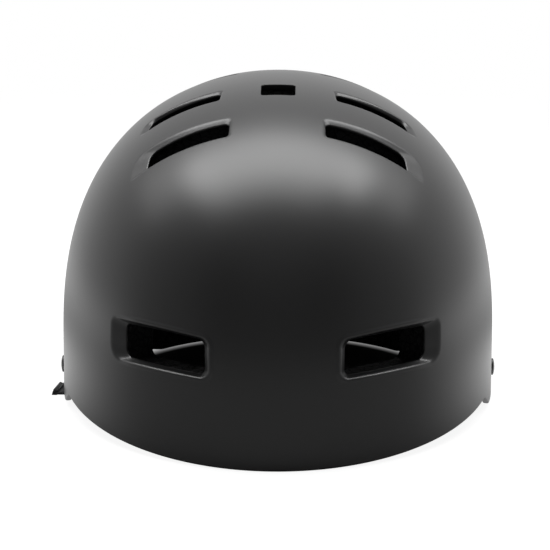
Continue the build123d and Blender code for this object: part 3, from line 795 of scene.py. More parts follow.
def dome_sheet(inset, holes, rim, spacing):
    """Points and triangles of the dome between its rim ring and the rings round its holes."""
    z_line, run = meridian(inset)
    rings = [rim] + holes
    fixed = np.concatenate(rings)
    free = []
    row = 0
    while spacing * row < run[-1] + WALL_TOP:
        length = spacing * (row + 0.5)
        z = np.interp(length, run, z_line) if length < run[-1] else WALL_TOP - (length - run[-1])
        count = max(5, int(2 * pi * MEAN_REACH * float(radial_share(z, inset)) / spacing))
        turn = (np.arange(count) + 0.5 * (row % 2)) * 2 * pi / count
        free.append(dome_points(turn, np.full(count, z), inset))
        row += 1
    free = np.concatenate(free)
    free = free[free[:, 2] > rim_height(free[:, 1]) + spacing * RING_ROOM + RIM_ROOM]
    keep = np.ones(len(free), bool)
    for ring in rings:
        for chunk in np.array_split(np.arange(len(free)), 8):
            gaps = np.linalg.norm(free[chunk][:, None] - ring[None], axis=2).min(axis=1)
            keep[chunk] &= gaps > spacing * RING_ROOM
    for ring in holes:
        middle = ring.mean(axis=0)
        axes = np.linalg.svd(ring - middle)[2]
        reach = np.abs((ring - middle) @ axes.T).max(axis=0)
        reach[2] = reach[0]
        keep &= ~(np.abs((free - middle) @ axes.T) < reach).all(axis=1)
    points = np.concatenate([fixed, free[keep]])
    turn, length = flattened(points, inset)
    flat = [Vector((r * cos(a), r * sin(a))) for a, r in zip(turn, length)]
    edges = []
    owner = np.full(len(points), -1)
    start = 0
    for number, ring in enumerate(rings):
        size = len(ring)
        edges += [(start + k, start + (k + 1) % size) for k in range(size)]
        owner[start:start + size] = number
        start += size
    _, _, triangles, sources, _, _ = delaunay_2d_cdt(flat, edges, [], 0, 1e-7)
    source = np.array([found[0] for found in sources])
    triangles = source[np.array([tuple(face) for face in triangles])]
    owners = owner[triangles]
    same = (owners[:, 0] == owners[:, 1]) & (owners[:, 1] == owners[:, 2])
    flat = np.array([tuple(point) for point in flat])
    middles = flat[triangles].mean(axis=1)
    rim_turn = turn[:len(rim)]
    order = np.argsort(rim_turn)
    angles = np.arctan2(middles[:, 1], middles[:, 0])
    limit = np.interp(angles, rim_turn[order], length[:len(rim)][order], period=2 * pi)
    beyond = np.hypot(middles[:, 0], middles[:, 1]) > limit + 0.02
    drop = (same & (owners[:, 0] > 0)) | (same & (owners[:, 0] == 0) & beyond)
    triangles = triangles[~drop]
    a, b, c = (flat[triangles[:, k]] for k in range(3))
    turned = np.cross(b - a, c - a) < 0
    triangles[turned] = triangles[turned][:, ::-1]
    return points, triangles


class Skin:
    """Points, faces and known normals of one mesh, gathered piece by piece."""

    def __init__(self):
        self.points = []
        self.normals = []
        self.faces = []
        self.count = 0

    def add(self, points, normals=None):
        start = self.count
        self.points.append(points)
        self.normals.append(np.zeros_like(points) if normals is None else normals)
        self.count += len(points)
        return np.arange(start, self.count)

    def band(self, first, second):
        """Quads from one ring of point numbers to the next."""
        size = len(first)
        for k in range(size):
            following = (k + 1) % size
            self.faces.append((first[k], first[following], second[following], second[k]))

    def chain(self, first, rings, last):
        """Bands from numbers through new rings to other numbers."""
        numbers = [first] + [self.add(ring) for ring in rings] + [last]
        for one, other in zip(numbers, numbers[1:]):
            self.band(one, other)

    def build(self, name):
        points = np.concatenate(self.points)
        normals = np.concatenate(self.normals)
        made = mesh_object(name, points, self.faces)
        made.data.normals_split_custom_set_from_vertices([tuple(normal) for normal in normals])
        return made


def linked(name, data):
    """A new object in the scene."""
    made = bpy.data.objects.new(name, data)
    bpy.context.scene.collection.objects.link(made)
    return made


def smooth(piece):
    piece.data.polygons.foreach_set("use_smooth", [True] * len(piece.data.polygons))
    return piece


def mesh_object(name, points, faces):
    """A smooth-shaded object from points in millimetres."""
    data = bpy.data.meshes.new(name)
    faces = [tuple(int(corner) for corner in face) for face in faces]
    data.from_pydata((np.asarray(points) * MM).tolist(), [], faces)
    data.validate()
    return smooth(linked(name, data))


def paint(piece, material):
    piece.data.materials.clear()
    piece.data.materials.append(material)


def dress(piece, material, body, slot, *nodes):
    """Paint a piece, let it ride on its body and stand for its CAD nodes."""
    paint(piece, material)
    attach(piece, body)
    if nodes:
        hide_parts(*nodes)
    return piece


def applied(piece):
    """The piece with its modifiers worked into a plain mesh."""
    bpy.context.view_layer.update()
    graph = bpy.context.evaluated_depsgraph_get()
    data = bpy.data.meshes.new_from_object(piece.evaluated_get(graph), depsgraph=graph)
    piece.modifiers.clear()
    piece.data = data
    return piece


def modified(piece, kind, **settings):
    """The piece with one modifier worked into a plain mesh."""
    modifier = piece.modifiers.new(kind.lower(), kind)
    for name, value in settings.items():
        setattr(modifier, name, value)
    return applied(piece)


def merged_copy(node, name):
    """A copy of a CAD node's mesh with its loose triangles joined up."""
    data = NODES[node].data.copy()
    data.name = name
    work = bmesh.new()
    work.from_mesh(data)
    bmesh.ops.remove_doubles(work, verts=work.verts, dist=0.000002)
    bmesh.ops.dissolve_limit(work, angle_limit=radians(0.5), verts=work.verts, edges=work.edges)
    work.to_mesh(data)
    work.free()
    data.materials.clear()
    return linked(name, data)


def softened(node, name, radius):
    """A CAD node's copy with its hard edges rounded off."""
    piece = merged_copy(node, name)
    hard = radians(28)
    modified(piece, "BEVEL", width=radius, segments=2, limit_method="ANGLE", angle_limit=hard)
    smooth(piece).data.set_sharp_from_angle(angle=radians(38))
    return piece


def strip(name, centres, acrosses, faces, spreads):
    """Webbing along a route: a flat section with rounded edges, and its UV in metres."""
    edge_steps = 4
    half = STRAP_THICKNESS / 2
    profile = []
    for side in (1, -1):
        for step in range(edge_steps + 1):
            angle = pi / 2 - pi * step / edge_steps
            profile.append((side, side * half * cos(angle), side * half * sin(angle)))
        for share in (0.5, 0.0, -0.5):
            profile.append((side * share, 0.0, -side * half))
    size = len(profile)
    run = run_of(centres)
    points = []
    for centre, across, face, spread in zip(centres, acrosses, faces, spreads):
        reach = spread / 2 - half
        for share, out, rise in profile:
            points.append(centre + across * (share * reach + out) + face * rise)
    skin_faces = []
    for row in range(len(centres) - 1):
        for k in range(size):
            following = (k + 1) % size
            a = row * size
            b = a + size
            skin_faces.append((a + k, b + k, b + following, a + following))
    last = (len(centres) - 1) * size
    skin_faces.append(tuple(range(size)))
    skin_faces.append(tuple(reversed(range(last, last + size))))
    made = mesh_object(name, points, skin_faces)
    weave = made.data.uv_layers.new(name="weave")
    for loop in made.data.loops:
        row, k = divmod(loop.vertex_index, size)
        share = profile[k][0]
        weave.data[loop.index].uv = ((share + 1) / 2 * STRAP_WIDTH * MM, run[row] * MM)
    return made


def flat_run(name, route, side=-1, twist=0.0):
    """Webbing along a route in the upright plane of the side rivets, with a twist at its end."""
    line = round_corners(route, spacing=2.0)
    centres = np.stack([line[:, 0] * -side, np.full(len(line), STRAP_Y), line[:, 1]], axis=1)
    ahead = unit(np.gradient(centres, axis=0))
    run = run_of(centres)
    share = (run - run[-1] + LOOSE_END_LENGTH) / LOOSE_END_LENGTH * 2
    turn = np.radians(twist) * np.clip(share, 0, 1)
    across = np.stack([-side * np.sin(turn), np.cos(turn), 0 * turn], axis=1)
    face = unit(np.cross(ahead, across))
    return strip(name, centres, across, face, np.full(len(line), STRAP_WIDTH))


def evened(values, window):
    """A running mean that keeps both ends."""
    half = window // 2
    before = 2 * values[0] - values[half:0:-1]
    after = 2 * values[-1] - values[-2:-half - 2:-1]
    padded = np.concatenate([before, values, after])
    return np.convolve(padded, np.ones(window) / window, mode="valid")


def rear_run(name, side=-1):
    """Webbing from the rear rivet, round the foam's edge, to the doubled strap."""
    profile = round_corners(REAR_PROFILE, spacing=0.5)
    run = run_of(profile)
    table = np.array(REAR_ROUTE)
    stations = np.linspace(0, 1, REAR_STATIONS)
    length = stations * run[-1]
    inset = np.interp(length, run, profile[:, 0])
    z = np.interp(length, run, profile[:, 1])
    back = np.interp(stations, table[:, 0], table[:, 1])
    for _ in range(3):
        back = evened(back, 7)
    y = STRAP_Y + back * (REAR_RIVET[0] - STRAP_Y)
    x = np.minimum(side_x(y, inset), OUTER_STACK_X + REAR_PROFILE[-1][0] - inset)
    centres = np.stack([-x, y, z], axis=1)
    round_y = np.maximum(y, WIDEST_Y)
    normal = outward(np.stack([-side_x(round_y), round_y, 0 * y], axis=1))
    ahead = unit(np.gradient(np.stack([inset, z], axis=1), axis=0))
    heading = np.array([0, 0, 1]) * ahead[:, 1:] - normal * ahead[:, :1]
    across = np.cross((0.0, 0.0, 1.0), normal)
    slope = evened(np.gradient(y, length), 9)
    spread = STRAP_WIDTH * np.minimum(1.6, np.sqrt(1 + slope ** 2))
    face = np.cross(heading, across)
    if side > 0:
        centres, across, face = centres * (-1, 1, 1), across * (1, -1, -1), face * (-1, 1, 1)
    return strip(name, centres, across, face, spread)


def joined(name, pieces):
    """Several pieces as one object."""
    with bpy.context.temp_override(active_object=pieces[0], selected_editable_objects=pieces):
        bpy.ops.object.join()
    pieces[0].name = name
    return pieces[0]


def plan_ring(around=120, power=4.5):
    """Shares of a pad's half length and half height round its rounded outline."""
    turn = np.arange(around) * 2 * pi / around
    form = (np.abs(np.cos(turn)) ** power + np.abs(np.sin(turn)) ** power) ** (-1 / power)
    return np.stack([form * np.cos(turn), form * np.sin(turn)], axis=1)


def closed_skin(rings, first_hub, last_hub, turned):
    """Faces over rings that lie one after another, closed by a point at each end."""
    skin = Skin()
    numbers = [skin.add(ring) for ring in rings]
    for first, second in zip(numbers, numbers[1:]):
        skin.band(first, second)
    for ring, hub, way in ((numbers[0], first_hub, -1), (numbers[-1], last_hub, 1)):
        if hub is None:
            continue
        middle = skin.add(hub)[0]
        for k in range(len(ring)):
            skin.faces.append((ring[k], ring[(k + 1) % len(ring)], middle)[::way])
    if first_hub is None:
        skin.band(numbers[-1], numbers[0])
    if turned:
        skin.faces = [face[::-1] for face in skin.faces]
    return skin


def near_foam(points):
    """Which points lie on the pads' back, next to the foam."""
    return level(points, PAD_BACK + 1.6) > 0


def swollen(piece):
    """Blow a pad up as cloth with its back held, and keep each point near where it was."""
    modified(piece, "REMESH", mode="VOXEL", voxel_size=PAD_VOXEL)
    points = np.array([tuple(vertex.co) for vertex in piece.data.vertices]) / MM
    held = piece.vertex_groups.new(name="held")
    held.add([int(k) for k in np.nonzero(near_foam(points))[0]], 1.0, "REPLACE")
    settings = piece.modifiers.new("cloth", "CLOTH").settings
    for name, value in CLOTH.items():
        setattr(settings, name, value)
    settings.effector_weights.gravity = 0
    scene = bpy.context.scene
    for frame_number in range(1, CLOTH_FRAMES + 1):
        scene.frame_set(frame_number)
    graph = bpy.context.evaluated_depsgraph_get()
    blown = piece.evaluated_get(graph).data
    moved = np.array([tuple(vertex.co) for vertex in blown.vertices]) / MM - points
    length = np.linalg.norm(moved, axis=1)[:, None]
    points += moved * np.minimum(1, PAD_SWELL / np.maximum(length, 1e-6))
    piece.modifiers.clear()
    scene.frame_set(1)
    piece.data.vertices.foreach_set("co", (points * MM).ravel())
    return smooth(modified(piece, "SUBSURF", levels=1, render_levels=1))


def pad_object(name, surface, turned=False):
    """A swollen pillow in a flat sewn border; returns the piece, its stitch line and its facing."""
    plan = plan_ring()
    rings = [surface(plan * share, rise) for share, rise in PILLOW_PROFILE]
    centre = np.zeros((1, 2))
    skin = closed_skin(rings, surface(centre, 0.0), surface(centre, 0.9), turned)
    pillow = mesh_object(name, np.concatenate(skin.points), skin.faces)
    pillow = swollen(pillow)
    rings = [surface(plan * share, rise) for share, rise in BORDER_PROFILE]
    skin = closed_skin(rings, None, None, turned)
    border = mesh_object(name + "_border", np.concatenate(skin.points), skin.faces)
    piece = joined(name, [pillow, border])
    closed = np.append(plan, plan[:1], axis=0) * STITCH_SHARE
    line = surface(closed, STITCH_RISE)
    return piece, line, unit(surface(closed, 1.0) - line)


def wall_pad_surface(turn_from, turn_to, low, high):
    """Plan shares onto the foam's inner wall, raised inwards by a share of the pad's thickness."""
    def surface(shares, rise):
        turn = np.radians((turn_from + turn_to) / 2 + shares[:, 0] * (turn_to - turn_from) / 2)
        z = (low + high) / 2 + shares[:, 1] * (high - low) / 2
        inset = PAD_BACK + PAD_GAP + rise * (PAD_THICKNESS - 2 * PAD_GAP)
        return dome_points(turn, z, inset)
    return surface


def crown_pad_surface():
    """Plan shares onto the top of the foam, raised downwards by a share of the pad's thickness."""
    first, last, width = CROWN_PAD

    def surface(shares, rise):
        y = (first + last) / 2 + shares[:, 0] * (last - first) / 2
        x = shares[:, 1] * width / 2
        inset = PAD_BACK + PAD_GAP + rise * (PAD_THICKNESS - 2 * PAD_GAP)
        return np.stack([x, y, top_z(x, y, inset)], axis=1)
    return surface


def line_object(name, paths, facings):
    """Edge chains that carry a facing vector at each point."""
    points = np.concatenate(paths)
    facing = np.concatenate(facings)
    edges = []
    start = 0
    for path in paths:
        edges += [(start + k, start + k + 1) for k in range(len(path) - 1)]
        start += len(path)
    data = bpy.data.meshes.new(name)
    data.from_pydata((points * MM).tolist(), edges, [])
    attribute = data.attributes.new("facing", "FLOAT_VECTOR", "POINT")
    attribute.data.foreach_set("vector", facing.astype(np.float32).ravel())
    return linked(name, data)


def new_group(name, numbers):
    """A geometry tree that takes numbers and a material: itself, a Tree and its input wires."""
    group = bpy.data.node_groups.new(name, "GeometryNodeTree")
    face = group.interface
    face.new_socket("Geometry", in_out="INPUT", socket_type="NodeSocketGeometry")
    for label, value in numbers.items():
        face.new_socket(label, in_out="INPUT", socket_type="NodeSocketFloat").default_value = value
    face.new_socket("Material", in_out="INPUT", socket_type="NodeSocketMaterial")
    face.new_socket("Geometry", in_out="OUTPUT", socket_type="NodeSocketGeometry")
    tree = Tree(group)
    return group, tree, tree.wires("NodeGroupInput")


def repeated(tree, points, piece, turn, material, **values):
    """Put a piece at each point, make it real, paint it and close the tree."""
    values = {"Points": points, "Instance": piece, "Rotation": turn, **values}
    placed = tree.node("GeometryNodeInstanceOnPoints", values=values)
    solid = tree.node("GeometryNodeRealizeInstances", values={"Geometry": placed})
    soft = tree.node("GeometryNodeSetShadeSmooth", values={0: solid})
    done = tree.node("GeometryNodeSetMaterial", values={"Geometry": soft, "Material": material})
    tree.node("NodeGroupOutput", values={"Geometry": done}, out=None)


def facing_wire(tree):
    settings = {"data_type": "FLOAT_VECTOR"}
    return tree.node("GeometryNodeInputNamedAttribute", settings, {"Name": "facing"})


def stitch_tree():
    """Stitches along edge chains: short sunk capsules that face the chain's facing vector."""
    numbers = {"Pitch": 0.003, "Length": 0.0022, "Thread": 0.00028}
    group, tree, given = new_group("stitches", numbers)
    geometry, pitch, length, thread, material = given[:5]
    curve = tree.node("GeometryNodeMeshToCurve", values={"Mesh": geometry})
    values = {"Curve": curve, "Length": pitch}
    points = tree.node("GeometryNodeCurveToPoints", {"mode": "LENGTH"}, values, out=None)
    tangent = Wire(points.outputs["Tangent"])
    align = "FunctionNodeAlignRotationToVector"
    turn = tree.node(align, {"axis": "X"}, {"Vector": tangent})
    values = {"Rotation": turn, "Vector": facing_wire(tree)}
    turn = tree.node(align, {"axis": "Z", "pivot_axis": "X"}, values)
    values = {"Segments": 8, "Rings": 6, "Radius": 1.0}
    ball = tree.node("GeometryNodeMeshUVSphere", values=values)
    values = {"X": length * 0.5, "Y": thread, "Z": thread * 0.8}
    scale = tree.node("ShaderNodeCombineXYZ", values=values)
    repeated(tree, Wire(points.outputs["Points"]), ball, turn, material, Scale=scale)
    return group


def rivet_tree():
    """Rivets at points that carry a facing vector: a domed head, a shank and a flat tail."""
    group, tree, given = new_group("rivets", {"Radius": 0.0042, "Height": 0.0016, "Grip": 0.008})
    geometry, radius, height, grip, material = given[:5]
    join = tree.tree.nodes.new("GeometryNodeJoinGeometry")
    # Radius, middle, height and the side that bulges: 1 is up, -1 is down and 0 is neither
    cans = (
        (radius, height * 0.5, height, 1.0),
        (radius * 0.45, grip * -0.5, grip, 0.0),
        (radius * 0.76, grip * -1 - 0.0006, 0.0012, -1.0),
    )
    for width, middle, tall, bulge in cans:
        values = {"Vertices": 40, "Side Segments": 4, "Fill Segments": 7, "Depth": 2.0}
        can = tree.node("GeometryNodeMeshCylinder", values={"Radius": 1.0, **values})
        position = tree.node("GeometryNodeInputPosition")
        x, y, z = tree.wires("ShaderNodeSeparateXYZ", Vector=position)
        form = belly = 1.0
        if bulge:
            out = (x * x + y * y) ** 0.5
            form = 1 - (z * bulge > 0) * (out ** 2.2 * 0.78)
            belly = 1 - ((z * bulge + 1) * 0.5) ** 3 * 0.07
        values = {"X": x * belly * width, "Y": y * belly * width}
        values["Z"] = z * form * tall * 0.5 + middle
        placed = tree.node("ShaderNodeCombineXYZ", values=values)
        part = tree.node("GeometryNodeSetPosition", values={"Geometry": can, "Position": placed})
        tree.tree.links.new(part.socket, join.inputs[0])
    points = tree.node("GeometryNodeMeshToPoints", values={"Mesh": geometry, "Radius": 0.001})
    values = {"Vector": facing_wire(tree)}
    turn = tree.node("FunctionNodeAlignRotationToVector", {"axis": "Z"}, values)
    repeated(tree, points, Wire(join.outputs[0]), turn, material)
    return group


def grown(piece, group, **settings):
    """Run a geometry tree on a piece and keep the result as a plain mesh."""
    modifier = piece.modifiers.new("tree", "NODES")
    modifier.node_group = group
    for item in group.interface.items_tree:
        if item.item_type == "SOCKET" and item.in_out == "INPUT" and item.name in settings:
            modifier[item.identifier] = settings[item.name]
    return applied(piece)


class HelmetShellSettings(bpy.types.PropertyGroup):
    """Finish and mesh of the hard shell."""

    colour: bpy.props.FloatVectorProperty(
        name="Colour", description="Body colour of the shell", size=3,
        default=(0.0115, 0.0115, 0.012), min=0, max=1, subtype="COLOR",
    )
    roughness: bpy.props.FloatProperty(
        name="Roughness", description="How far the shell spreads a highlight",
        default=0.34, min=0, max=1, subtype="FACTOR",
    )
    gloss: bpy.props.FloatProperty(
        name="Gloss", description="Strength of the shell's reflection",
        default=1.0, min=0, max=1, subtype="FACTOR",
    )
    grain: bpy.props.FloatProperty(
        name="Grain", description="Strength of the fine moulded grain",
        default=0.16, min=0, max=1, subtype="FACTOR",
    )
    spacing: bpy.props.FloatProperty(
        name="Mesh spacing", description="Distance between the shell's mesh points",
        default=0.003, min=0.001, unit="LENGTH",
    )


class HelmetWebbingSettings(bpy.types.PropertyGroup):
    """Weave of the straps and pitch of their stitches."""

    rib_pitch: bpy.props.FloatProperty(
        name="Rib pitch", description="Distance between the ribs of the weave",
        default=0.00135, min=0.0002, unit="LENGTH",
    )
    pick_pitch: bpy.props.FloatProperty(
        name="Pick pitch", description="Distance between the crossing threads",
        default=0.0011, min=0.0002, unit="LENGTH",
    )
    stitch_pitch: bpy.props.FloatProperty(
        name="Stitch pitch", description="Distance between stitches",
        default=0.0026, min=0.001, unit="LENGTH",
    )


class HelmetStageSettings(bpy.types.PropertyGroup):
    """Camera, lamps and room."""

    distance: bpy.props.FloatProperty(
        name="Camera distance", description="Distance from the helmet's middle to the camera",
        default=1.3, min=0.3, unit="LENGTH",
    )
    pitch: bpy.props.FloatProperty(
        name="Camera pitch", description="How far the camera looks down",
        default=radians(11.62), subtype="ANGLE",
    )
    overhead: bpy.props.FloatProperty(
        name="Overhead lamp", description="Power of the wide lamp over the helmet",
        default=11.0, min=0, unit="POWER",
    )
    front: bpy.props.FloatProperty(
        name="Front lamp", description="Power of the narrow lamp over the brow",
        default=2.3, min=0, unit="POWER",
    )
    wings: bpy.props.FloatProperty(
        name="Wing lamps", description="Power of each lamp high at the sides",
        default=1.3, min=0, unit="POWER",
    )
    surround: bpy.props.FloatProperty(
        name="Surround", description="Light that the room sends from behind and the sides",
        default=0.5, min=0, subtype="FACTOR",
    )


class HELMET_OT_shell(bpy.types.Operator):
    """Build the hard shell with its recessed vents and rounded rim"""

    bl_idname = "helmet.shell"
    bl_label = "Hard shell"

    def execute(self, context):
        spacing = context.scene.helmet_shell.spacing / MM
        vents = []
        for place, sizes in vent_places():
            rings = vent_rings(place, sizes)
            vents += [rings, mirrored(rings)]
        vents.append(centre_slot_rings())
        rims = rim_rings()
        skin = Skin()
        joints = []
        for inset, rim, ring_at, way in ((0.0, rims[0], 0, 1), (SHELL_WALL, rims[-1], -1, -1)):
            holes = [rings[ring_at] for rings in vents]
            step = spacing * (1 if way > 0 else 1.5)
            points, triangles = dome_sheet(inset, holes, rim, step)
            numbers = skin.add(points, outward(points, inset) * way)
            skin.faces += [tuple(numbers[face][::way]) for face in triangles]
            starts = np.cumsum([0, len(rim)] + [len(hole) for hole in holes])
            joints.append([numbers[a:b] for a, b in zip(starts, starts[1:])])
        for place, rings in enumerate(vents, start=1):
            skin.chain(joints[0][place], rings[1:-1], joints[1][place])
        skin.chain(joints[1][0], rims[-2:0:-1], joints[0][0])
        shell = skin.build("hard_shell")
        dress(shell, shell_material(), "helmet", "shell", "outer_shell")
        return {"FINISHED"}


class HELMET_OT_liner(bpy.types.Operator):
    """Dress the foam liner and the hook patches"""

    bl_idname = "helmet.liner"
    bl_label = "Foam liner"

    def execute(self, context):
        liner = smooth(merged_copy("eps_liner", "foam_liner"))
        liner.data.set_sharp_from_angle(angle=radians(32))
        dress(liner, foam_material(), "helmet", "foam", "eps_liner")
        paint(NODES["hook_patches"], hook_material())
        return {"FINISHED"}


class HELMET_OT_pads(bpy.types.Operator):
    """Build the comfort pads with their stitched borders"""

    bl_idname = "helmet.pads"
    bl_label = "Comfort pads"

    def execute(self, context):
        cloth = pad_material()
        surfaces = {name: wall_pad_surface(*sizes) for name, sizes in WALL_PADS.items()}
        surfaces["crown_pad"] = crown_pad_surface()
        paths = []
        facings = []
        for name, surface in surfaces.items():
            piece, line, facing = pad_object(name + "_cloth", surface, name == "crown_pad")
            dress(piece, cloth, "helmet", "pad_cloth", name)
            paths.append(line)
            facings.append(facing)
        stitches = line_object("pad_stitches", paths, facings)
        thread = thread_material()
        grown(stitches, stitch_tree(), Pitch=0.0026, Length=0.0021, Thread=0.00026, Material=thread)
        dress(stitches, thread, "helmet", "pad_cloth")
        return {"FINISHED"}


class HELMET_OT_straps(bpy.types.Operator):
    """Build the webbing of the harness and its stitching"""

    bl_idname = "helmet.straps"
    bl_label = "Webbing"

    def execute(self, context):
        look = context.scene.helmet_webbing
        weave = webbing_material()
        for side, route, name in ((-1, STRAP_LEFT, "left"), (1, STRAP_RIGHT, "right")):
            runs = [flat_run("webbing_" + name, route, side), rear_run("rear_" + name, side)]
            dress(joined("webbing_" + name, runs), weave, "helmet", "webbing", "strap_" + name)
        chin = flat_run("webbing_chin", CHIN_STRAP, twist=LOOSE_END_TWIST)
        dress(chin, weave, "helmet", "webbing", "chin_strap")
        paths = []
        facings = []
        near, far = STRAP_Y - STITCH_HALF_WIDTH, STRAP_Y + STITCH_HALF_WIDTH
        for x, low, high, way in STITCH_BOXES:
            corners = np.array([(x, near, low), (x, far, low), (x, far, high), (x, near, high)])
            for order in ((0, 1, 2, 3, 0, 2), (1, 3)):
                paths.append(corners[list(order)])
                facings.append(np.tile((way, 0.0, 0.0), (len(order), 1)))
        stitches = line_object("strap_stitches", paths, facings)
        thread = thread_material()
        sizes = {"Pitch": look.stitch_pitch, "Length": 0.0022, "Thread": 0.0003}
        grown(stitches, stitch_tree(), Material=thread, **sizes)
        dress(stitches, thread, "helmet", "webbing")
        return {"FINISHED"}


class HELMET_OT_rivets(bpy.types.Operator):
    """Build the rivets' heads and tails, and dress the washers"""

    bl_idname = "helmet.rivets"
    bl_label = "Rivets"

    def execute(self, context):
        paint_black = rivet_material()
        heads = []
        facings = []
        for y, z in (SIDE_RIVET, REAR_RIVET):
            for side in (-1, 1):
                point = np.array([[side * float(side_x(y)), y, z]])
                facing = outward(point)
                heads.append(point + facing * RIVET_LIFT)
                facings.append(facing)
        made = line_object("rivets", heads, facings)
        sizes = {"Radius": 0.0042, "Height": 0.0016, "Grip": RIVET_GRIP * MM}
        grown(made, rivet_tree(), Material=paint_black, **sizes)
        made.data.set_sharp_from_angle(angle=radians(50))
        ends = ("side_{}_left", "side_{}_right", "rear_{}_left", "rear_{}_right")
        nodes = [end.format("rivet") for end in ends]
        dress(made, paint_black, "helmet", "rivet", *nodes)
        plated = steel_material()
        for end in ends:
            paint(NODES[end.format("washer")], plated)
        return {"FINISHED"}


class HELMET_OT_hardware(bpy.types.Operator):
    """Build the buckle, the strap dividers and the keeper ring"""

    bl_idname = "helmet.hardware"
    bl_label = "Buckle and slides"

    def execute(self, context):
        plastic = plastic_material()
        for node, name, body, radius in BUCKLE_PIECES:
            dress(softened(node, name, radius), plastic, body, "buckle", node)
        ring = softened("keeper_ring", "keeper_band", 0.0006)
        dress(ring, rubber_material(), "keeper", "keeper", "keeper_ring")
        return {"FINISHED"}


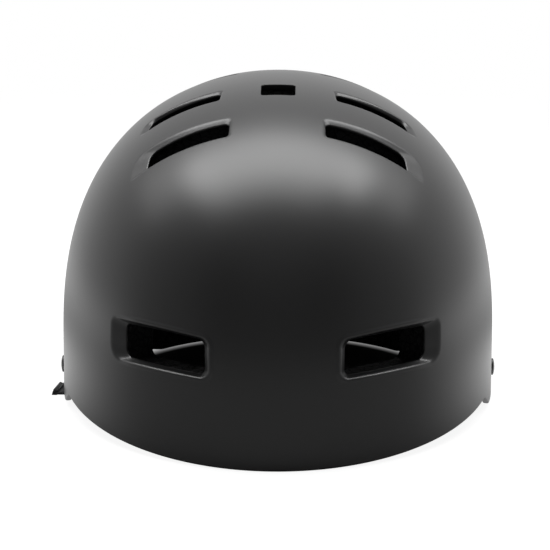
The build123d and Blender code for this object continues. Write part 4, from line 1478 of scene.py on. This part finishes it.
class HELMET_OT_stage(bpy.types.Operator):
    """Set the camera, the lamps, the room and the floor"""

    bl_idname = "helmet.stage"
    bl_label = "Stage"

    def execute(self, context):
        look = context.scene.helmet_stage
        self.set_camera(context, look)
        self.set_lamps(look)
        self.set_room(context, look)
        self.set_floor()
        context.scene.view_settings.view_transform = "Standard"
        return {"FINISHED"}

    def set_camera(self, context, look):
        data = bpy.data.cameras.new("photo_camera")
        data.lens = VIEW_LENS
        data.clip_start = 0.05
        data.shift_x, data.shift_y = VIEW_SHIFT
        camera = linked("photo_camera", data)
        turn = radians(VIEW_TURN)
        away = look.distance * cos(look.pitch)
        up = look.distance * sin(look.pitch)
        middle = Vector(VIEW_MIDDLE)
        camera.location = middle + Vector((away * sin(turn), -away * cos(turn), up))
        ahead = (middle - camera.location).to_track_quat("-Z", "Y").to_matrix()
        camera.rotation_euler = (ahead @ Matrix.Rotation(radians(VIEW_ROLL), 3, "Z")).to_euler()
        context.scene.camera = camera

    def set_lamps(self, look):
        for name, setting, place, size, target in LAMPS:
            data = bpy.data.lights.new(name, "AREA")
            data.shape = "RECTANGLE"
            data.size, data.size_y = size
            data.energy = getattr(look, setting)
            lamp = linked(name, data)
            lamp.location = place
            way = Vector(target) - Vector(place)
            lamp.rotation_euler = way.to_track_quat("-Z", "Y").to_euler()

    def set_room(self, context, look):
        """A white room for the camera; for reflections it is brightest behind the helmet."""
        world = bpy.data.worlds.new("studio_room")
        context.scene.world = world
        tree = cleared(world)
        seen, _ = tree.rays()
        across, back, up = tree.wires("ShaderNodeSeparateXYZ", Vector=tree.coordinates("Generated"))
        room = ROOM_BASE + tree.ease(back, -0.2, 0.9, 0.94) + tree.ease(back, 0.6, 1.0, 0.85)
        room = room + tree.ease(tree.one_value("ABSOLUTE", across), 0.5, 1.0, 0.34)
        room = room + tree.ease(up, 0.3, 0.95, 0.26) + tree.ease(back, -0.5, -1.0, 0.2)
        strength = seen + (1 - seen) * room * look.surround
        values = {"Color": WHITE, "Strength": strength}
        shader = tree.node("ShaderNodeBackground", values=values)
        tree.node("ShaderNodeOutputWorld", values={"Surface": shader}, out=None)

    def set_floor(self):
        """A pale floor that fades into the room and keeps the helmet's shadow, with a painted
        shadow where the helmet stands over it.
        """
        work = bmesh.new()
        bmesh.ops.create_circle(work, cap_ends=True, radius=FLOOR_RADIUS, segments=FLOOR_SIDES)
        data = bpy.data.meshes.new("floor")
        work.to_mesh(data)
        work.free()
        floor = linked("floor", data)
        material = bpy.data.materials.new("pale_floor")
        tree = cleared(material)
        values = {0: tree.coordinates()}
        length = tree.node("ShaderNodeVectorMath", {"operation": "LENGTH"}, values, out="Value")
        x, y, _ = tree.wires("ShaderNodeSeparateXYZ", Vector=tree.coordinates())
        across = x / (HALF_WIDTH * MM)
        along = (y - WIDEST_Y * MM) / ((FRONT_REACH + REAR_REACH) / 2 * MM)
        # The floor glows for the camera only where the helmet doesn't stand over it, so its
        # footprint holds a painted shadow
        outside_painted_shadow = tree.ease((across * across + along * along) ** 0.5, 0.8, 0.97)
        seen, glossy = tree.rays()
        mirrored = 0.42 + tree.ease(length, 0.24, 0.14) + tree.ease(length, 0.26, 0.4, 0.5)
        seen = seen + glossy * tree.ease(y, -0.12, 0.12) * mirrored
        matt = tree.node("ShaderNodeBsdfDiffuse", values={"Color": FLOOR_GREY})
        values = {"Color": WHITE, "Strength": seen * outside_painted_shadow * FLOOR_GLOW}
        glow = tree.node("ShaderNodeEmission", values=values)
        lit = tree.node("ShaderNodeAddShader", values={0: matt, 1: glow})
        clear = tree.node("ShaderNodeBsdfTransparent")
        values = {0: tree.ease(length, 0.35, 1.1), 1: lit, 2: clear}
        shader = tree.node("ShaderNodeMixShader", values=values)
        tree.node("ShaderNodeOutputMaterial", values={"Surface": shader}, out=None)
        paint(floor, material)


class HELMET_PT_panel(bpy.types.Panel):
    """Lists the helmet's sizes and the operators that build it"""

    bl_label = "Skate helmet"
    bl_idname = "HELMET_PT_panel"
    bl_space_type = "VIEW_3D"
    bl_region_type = "UI"
    bl_category = "Helmet"

    def draw(self, context):
        layout = self.layout
        for settings in SETTINGS:
            group = getattr(context.scene, settings)
            for name in group.__annotations__:
                layout.prop(group, name)
        for operator in OPERATORS:
            layout.operator(operator.bl_idname)


SETTINGS = {
    "helmet_shell": HelmetShellSettings,
    "helmet_webbing": HelmetWebbingSettings,
    "helmet_stage": HelmetStageSettings,
}
OPERATORS = (
    HELMET_OT_shell,
    HELMET_OT_liner,
    HELMET_OT_pads,
    HELMET_OT_straps,
    HELMET_OT_rivets,
    HELMET_OT_hardware,
    HELMET_OT_stage,
)


def register():
    for name, settings in SETTINGS.items():
        bpy.utils.register_class(settings)
        setattr(bpy.types.Scene, name, bpy.props.PointerProperty(type=settings))
    for made in OPERATORS + (HELMET_PT_panel,):
        bpy.utils.register_class(made)


def unregister():
    for made in reversed(OPERATORS + (HELMET_PT_panel,)):
        bpy.utils.unregister_class(made)
    for name, settings in SETTINGS.items():
        delattr(bpy.types.Scene, name)
        bpy.utils.unregister_class(settings)


def main():
    register()
    for operator in OPERATORS:
        group, name = operator.bl_idname.split(".")
        getattr(getattr(bpy.ops, group), name)()


if __name__ == "__main__":
    main()
